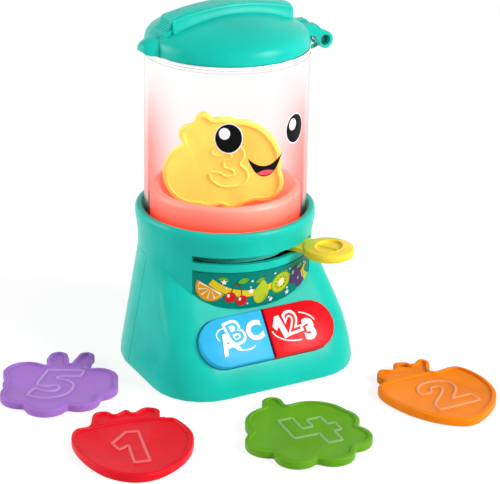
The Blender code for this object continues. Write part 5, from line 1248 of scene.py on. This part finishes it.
class TOY_OT_buttons(bpy.types.Operator):
    """Blue and red buttons with plain white letters and numbers"""

    bl_idname = "toy_blender.buttons"
    bl_label = "Buttons"
    bl_options = {"REGISTER", "UNDO"}

    def glyph(self, character, height, weight):
        """A letter or numeral as a flat face; the 1 has the play pieces' form."""
        if character != "1":
            return letter_form(character, height, weight)
        across = height * ONE_WIDTH_SHARE
        return flat_shape([((u - 0.5) * across, (v - 0.5) * height) for u, v in NUMERAL_SHARES["1"]])

    def swirl(self, x, y, radius, squash, start, end, tilt):
        """A thin curved stroke from a tilted ellipse."""
        line = [turned(u, v, tilt) for u, v in arc(0.0, 0.0, radius, start, end, SWIRL_STEPS, squash)]
        return in_metres(ribbon([(x + u, y + v) for u, v in line], SWIRL_HALF_WIDTH))

    def print_on(self, colour, plastic, glyphs, swirls, thin):
        """White print on one button; a letter with an inner one shows the button's colour there."""
        body, slot = f"{colour}_button", f"{colour}_plastic"
        lowest, middle, highest = (BUTTON_LIFT + i * (thin + BUTTON_LIFT) for i in range(3))
        white, inner = [], []
        for character, x, y, height, tilt, weight, inner_share in glyphs:
            shape = turned_flat(self.glyph(character, height * MM, weight), x * MM, y * MM, tilt)
            level = lowest if inner_share else highest
            white.append(film(shape, thin, on_buttons, BUTTON_CELL, level))
            if inner_share:
                shape = letter_form(character, height * inner_share * MM, 0.0)
                shape = turned_flat(shape, x * MM, y * MM, tilt)
                inner.append(film(shape, thin, on_buttons, BUTTON_CELL, middle))
        for swirl in swirls:
            white.append(film(flat_shape(self.swirl(*swirl)), thin, on_buttons, BUTTON_CELL, 0.0))
        add_piece(f"button_{colour}_print", merged(white), ink("white"), body)
        add_piece(f"button_{colour}_print_inner", merged(inner), plastic, body)

    def execute(self, context):
        settings, thin = context.scene.toy_buttons, context.scene.toy_print.film
        blue = finish("blue_plastic", moulded, tuple(settings.left), roughness=0.32)
        red = finish("red_plastic", moulded, tuple(settings.right), roughness=0.32)
        dress("button_blue", blue)
        dress("button_red", red)
        self.print_on("blue", blue, BLUE_GLYPHS, BLUE_SWIRLS, thin)
        self.print_on("red", red, RED_GLYPHS, RED_SWIRLS, thin)
        return {"FINISHED"}


class TOY_OT_pieces(bpy.types.Operator):
    """Five flat play pieces with raised rims and raised outline numerals"""

    bl_idname = "toy_blender.pieces"
    bl_label = "Play pieces"
    bl_options = {"REGISTER", "UNDO"}

    def outline(self, number):
        """A curve through a piece's points, or the edge of its lobes."""
        shares = OUTLINE_SHARES[number]
        curve = smooth_outline(shares, 400) if len(shares[0]) == 2 else lobed_outline(shares, 720)
        return relaxed(evened(anticlockwise(curve), 240), 2)

    def numeral(self, number, left, right, low, high, lean, tilt):
        """The numeral's line in the piece's own frame."""
        outline = NUMERAL_SHARES[str(number)]
        if number in (2, 3, 5):
            outline = rounded(outline)
        points = []
        for u, v in outline:
            x, y = (u - 0.5) * (right - left), (v - 0.5) * (high - low)
            x, y = turned(x + y * math.tan(math.radians(lean)), y, tilt)
            points.append(((left + right) / 2 + x, (low + high) / 2 + y))
        return evened(in_metres(points), 120)

    def levels(self, soft):
        """Inset and height of each ring, from the foot over the rim and down its inner wall."""
        top = PIECE_THICKNESS
        turns = [math.pi / 2 * i / EDGE_STEPS for i in range(EDGE_STEPS + 1)]
        foot = [(soft * (1 - math.sin(turn)), soft * (1 - math.cos(turn))) for turn in turns]
        edge = [(soft * (1 - math.cos(turn)), top - soft * (1 - math.sin(turn))) for turn in turns]
        wall = [(PIECE_RIM + step, top - PIECE_SINK * share) for step, share in RIM_WALL]
        return foot + edge + wall

    def piece(self, settings, number, matrix, word, slot, material, box):
        body, top = f"piece_{word}", PIECE_THICKNESS
        outline = self.outline(number)
        rings = []
        for inset, height in self.levels(settings.rounding):
            rings.append([(x, y, height) for x, y in drawn_in(outline, inset)])
        piece = add_piece(f"piece_{number}_body", placed(lofted(rings), matrix), material, body)
        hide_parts(f"play_piece_{number}")
        # The numeral's line is painted paler than its piece: a painted highlight along the raised line
        pale = lighter(tuple(material.diffuse_color)[:3], YELLOW_NUMERAL_HIGHLIGHT_SHARE if number == 3 else NUMERAL_HIGHLIGHT_SHARE)
        highlight_line_finish = finish(f"{slot}_line", moulded, pale, roughness=0.22, grain=0.02)
        figure = self.numeral(number, *box)
        line = tube_along(figure, settings.line / 2, squash=NUMERAL_TALLNESS)
        line = placed(line, matrix @ raised(top - PIECE_SINK))
        add_piece(f"piece_{number}_numeral", line, highlight_line_finish, body)
        rim = evened(relaxed(drawn_in(outline, PIECE_RIM - RIM_BEAD_INSET), 2), 200)
        bead = placed(tube_along(rim, RIM_BEAD, steps=6), matrix @ raised(top - RIM_BEAD_SINK))
        add_piece(f"piece_{number}_rim", bead, material, body)
        if number in CROWN_ROOT_SHARES:
            root = [(x * PIECE_HALF_SIZE, y * PIECE_HALF_SIZE) for x, y in CROWN_ROOT_SHARES[number]]
            ridge = tube_along(root, RIDGE_BEAD, closed=False)
            ridge = placed(ridge, matrix @ raised(top - RIDGE_SINK))
            add_piece(f"piece_{number}_ridge", ridge, material, body)

    def execute(self, context):
        settings = context.scene.toy_pieces
        yaw = Matrix.Rotation(PIECE_YAW, 4, "Z")
        for number, word, slot, colour, (x, y), box in TABLE_PIECES:
            material = finish(slot, moulded, colour_of(*colour), roughness=0.4)
            matrix = Matrix.Translation((x * MM, y * MM, 0.0)) @ yaw
            self.piece(settings, number, matrix, word, slot, material, box)
        yellow = finish("piece_yellow", moulded, colour_of(250, 208, 92), roughness=0.36)
        middle = yaw @ Vector((0.0, PIECE_THICKNESS / 2, YELLOW_HEIGHT))
        matrix = Matrix.Translation(middle) @ yaw @ Matrix.Rotation(math.pi / 2, 4, "X")
        self.piece(settings, 3, matrix, "three", "piece_yellow", yellow, YELLOW_NUMERAL)
        return {"FINISHED"}


class TOY_OT_works(bpy.types.Operator):
    """Gears, boards, cells, speaker, switch and screws inside and underneath"""

    bl_idname = "toy_blender.works"
    bl_label = "Inner works"
    bl_options = {"REGISTER", "UNDO"}

    def execute(self, context):
        steel = finish("steel", metal, STEEL_COLOUR)
        contact = finish("contact_steel", metal, CONTACT_COLOUR, roughness=0.25)
        dark = finish("dark_plastic", moulded, colour_of(44, 46, 50), roughness=0.5)
        gear = finish("gear_plastic", moulded, colour_of(236, 236, 228), roughness=0.42)
        board = finish("circuit_board", moulded, colour_of(26, 118, 62), roughness=0.4)
        lamp = finish("light_white", moulded, colour_of(255, 196, 186), roughness=0.2)
        rubber = finish("rubber", moulded, colour_of(120, 120, 126), roughness=0.7, grain=0.2)
        paper = finish("speaker_paper", moulded, colour_of(60, 56, 52), roughness=0.85, grain=0.5)
        case = finish("battery_case", moulded, colour_of(150, 156, 164), roughness=0.28)
        groups = (
            (steel, (
                "battery_door_screw", "base_screw_1", "base_screw_2", "base_screw_3", "base_screw_4",
                "gear_plate_screw_1", "gear_plate_screw_2", "gear_plate_screw_3", "gear_plate_screw_4",
                "tumbler_shaft", "idler_axle", "speaker_magnet",
            )),
            (contact, ("contact_plate_left", "contact_plate_right")),
            (dark, ("gear_plate", "sound_chip", "speaker_frame", "power_switch_knob", "power_switch_body")),
            (gear, ("tumbler_pinion", "idler_gear")),
            (board, ("light_board", "button_board")),
            (lamp, ("light_1", "light_2", "light_3", "light_4")),
            (rubber, ("rubber_dome_blue", "rubber_dome_red")),
            (paper, ("speaker_cone",)),
            (case, ("battery_1", "battery_2", "battery_3")),
        )
        for material, names in groups:
            for name in names:
                dress(name, material)
        return {"FINISHED"}


class TOY_OT_stage(bpy.types.Operator):
    """White table, soft lamps and the camera"""

    bl_idname = "toy_blender.stage"
    bl_label = "Stage"
    bl_options = {"REGISTER", "UNDO"}

    def table(self):
        """Table that takes shadows and looks nearly white to the camera."""
        material, tree, shader = new_material("table_white")
        shader.inputs["Base Color"].default_value = (TABLE_GREY, TABLE_GREY, TABLE_GREY, 1.0)
        shader.inputs["Roughness"].default_value = 0.9
        shader.inputs["Specular IOR Level"].default_value = 0.0
        white = tree.nodes.new("ShaderNodeEmission")
        white.inputs["Strength"].default_value = TABLE_WHITE
        share = rays_to_eye(tree, TABLE_WHITE_SHARE)
        two_shaders(tree, share, shader.outputs["BSDF"], white.outputs["Emission"], "Material Output")
        form = bmesh.new()
        corners = ((-1, -1), (1, -1), (1, 1), (-1, 1))
        form.faces.new([form.verts.new((TABLE_HALF * x, TABLE_HALF * y, -TABLE_DROP)) for x, y in corners])
        mesh = bpy.data.meshes.new("table")
        form.to_mesh(mesh)
        form.free()
        mesh.materials.append(material)
        table = bpy.data.objects.new("table", mesh)
        bpy.context.scene.collection.objects.link(table)

    def sky(self, scene, strength):
        """Even light from all round, seen as plain white."""
        scene.world = bpy.data.worlds.new("sky")
        scene.world.use_nodes = True
        tree = scene.world.node_tree
        lit = tree.nodes["Background"]
        white = tree.nodes.new("ShaderNodeBackground")
        for light, level in ((lit, strength), (white, 1.0)):
            light.inputs["Color"].default_value = (1.0, 1.0, 1.0, 1.0)
            light.inputs["Strength"].default_value = level
        share = rays_to_eye(tree, 1.0)
        two_shaders(tree, share, lit.outputs["Background"], white.outputs["Background"], "World Output")

    def lamps(self, scene, power):
        for name, place, size, power_share in LAMPS:
            light = bpy.data.lights.new(name, "AREA")
            light.size = size
            light.energy = power * power_share
            item = bpy.data.objects.new(name, light)
            scene.collection.objects.link(item)
            item.location = place
            item.rotation_euler = (LAMP_AIM - Vector(place)).to_track_quat("-Z", "Y").to_euler()

    def camera(self, scene):
        level, rise = polar(1.0, CAMERA_ELEVATION)
        across, along = polar(1.0, CAMERA_AZIMUTH)
        forward = Vector((-along * level, across * level, -rise))
        right = Vector((across, along, 0.0))
        up = right.cross(forward)
        x_axis = math.cos(CAMERA_ROLL) * right - math.sin(CAMERA_ROLL) * up
        y_axis = math.sin(CAMERA_ROLL) * right + math.cos(CAMERA_ROLL) * up
        data = bpy.data.cameras.new("camera")
        data.sensor_width = SENSOR_WIDTH
        data.lens = FOCAL_PIXELS / PHOTO_WIDTH_PIXELS * SENSOR_WIDTH
        data.clip_start = CAMERA_NEAR
        item = bpy.data.objects.new("camera", data)
        scene.collection.objects.link(item)
        turn = Matrix((x_axis, y_axis, -forward)).transposed()
        item.matrix_world = Matrix.Translation(CAMERA_PLACE) @ turn.to_4x4()
        scene.camera = item

    def execute(self, context):
        scene, settings = context.scene, context.scene.toy_stage
        self.table()
        self.sky(scene, settings.sky)
        self.lamps(scene, settings.key_power)
        self.camera(scene)
        scene.view_settings.view_transform = "Standard"
        return {"FINISHED"}


OPERATORS = (
    TOY_OT_housing, TOY_OT_lid, TOY_OT_jar, TOY_OT_bowl, TOY_OT_face, TOY_OT_label, TOY_OT_lever,
    TOY_OT_buttons, TOY_OT_pieces, TOY_OT_works, TOY_OT_stage,
)


class TOY_PT_panel(bpy.types.Panel):
    bl_label = "Toy Blender"
    bl_idname = "TOY_PT_panel"
    bl_space_type = "VIEW_3D"
    bl_region_type = "UI"
    bl_category = "Toy Blender"

    def draw(self, context):
        for name, group in SETTINGS.items():
            box = self.layout.box()
            settings = getattr(context.scene, name)
            for word in group.__annotations__:
                box.prop(settings, word)
        for operator in OPERATORS:
            self.layout.operator(operator.bl_idname)


def register():
    for group in SETTINGS.values():
        bpy.utils.register_class(group)
    for name, group in SETTINGS.items():
        setattr(bpy.types.Scene, name, PointerProperty(type=group))
    for operator in OPERATORS:
        bpy.utils.register_class(operator)
    bpy.utils.register_class(TOY_PT_panel)


def unregister():
    bpy.utils.unregister_class(TOY_PT_panel)
    for operator in reversed(OPERATORS):
        bpy.utils.unregister_class(operator)
    for name in SETTINGS:
        delattr(bpy.types.Scene, name)
    for group in SETTINGS.values():
        bpy.utils.unregister_class(group)


def main():
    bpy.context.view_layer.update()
    register()
    for operator in OPERATORS:
        area, action = operator.bl_idname.split(".")
        getattr(getattr(bpy.ops, area), action)()


if __name__ == "__main__":
    main()
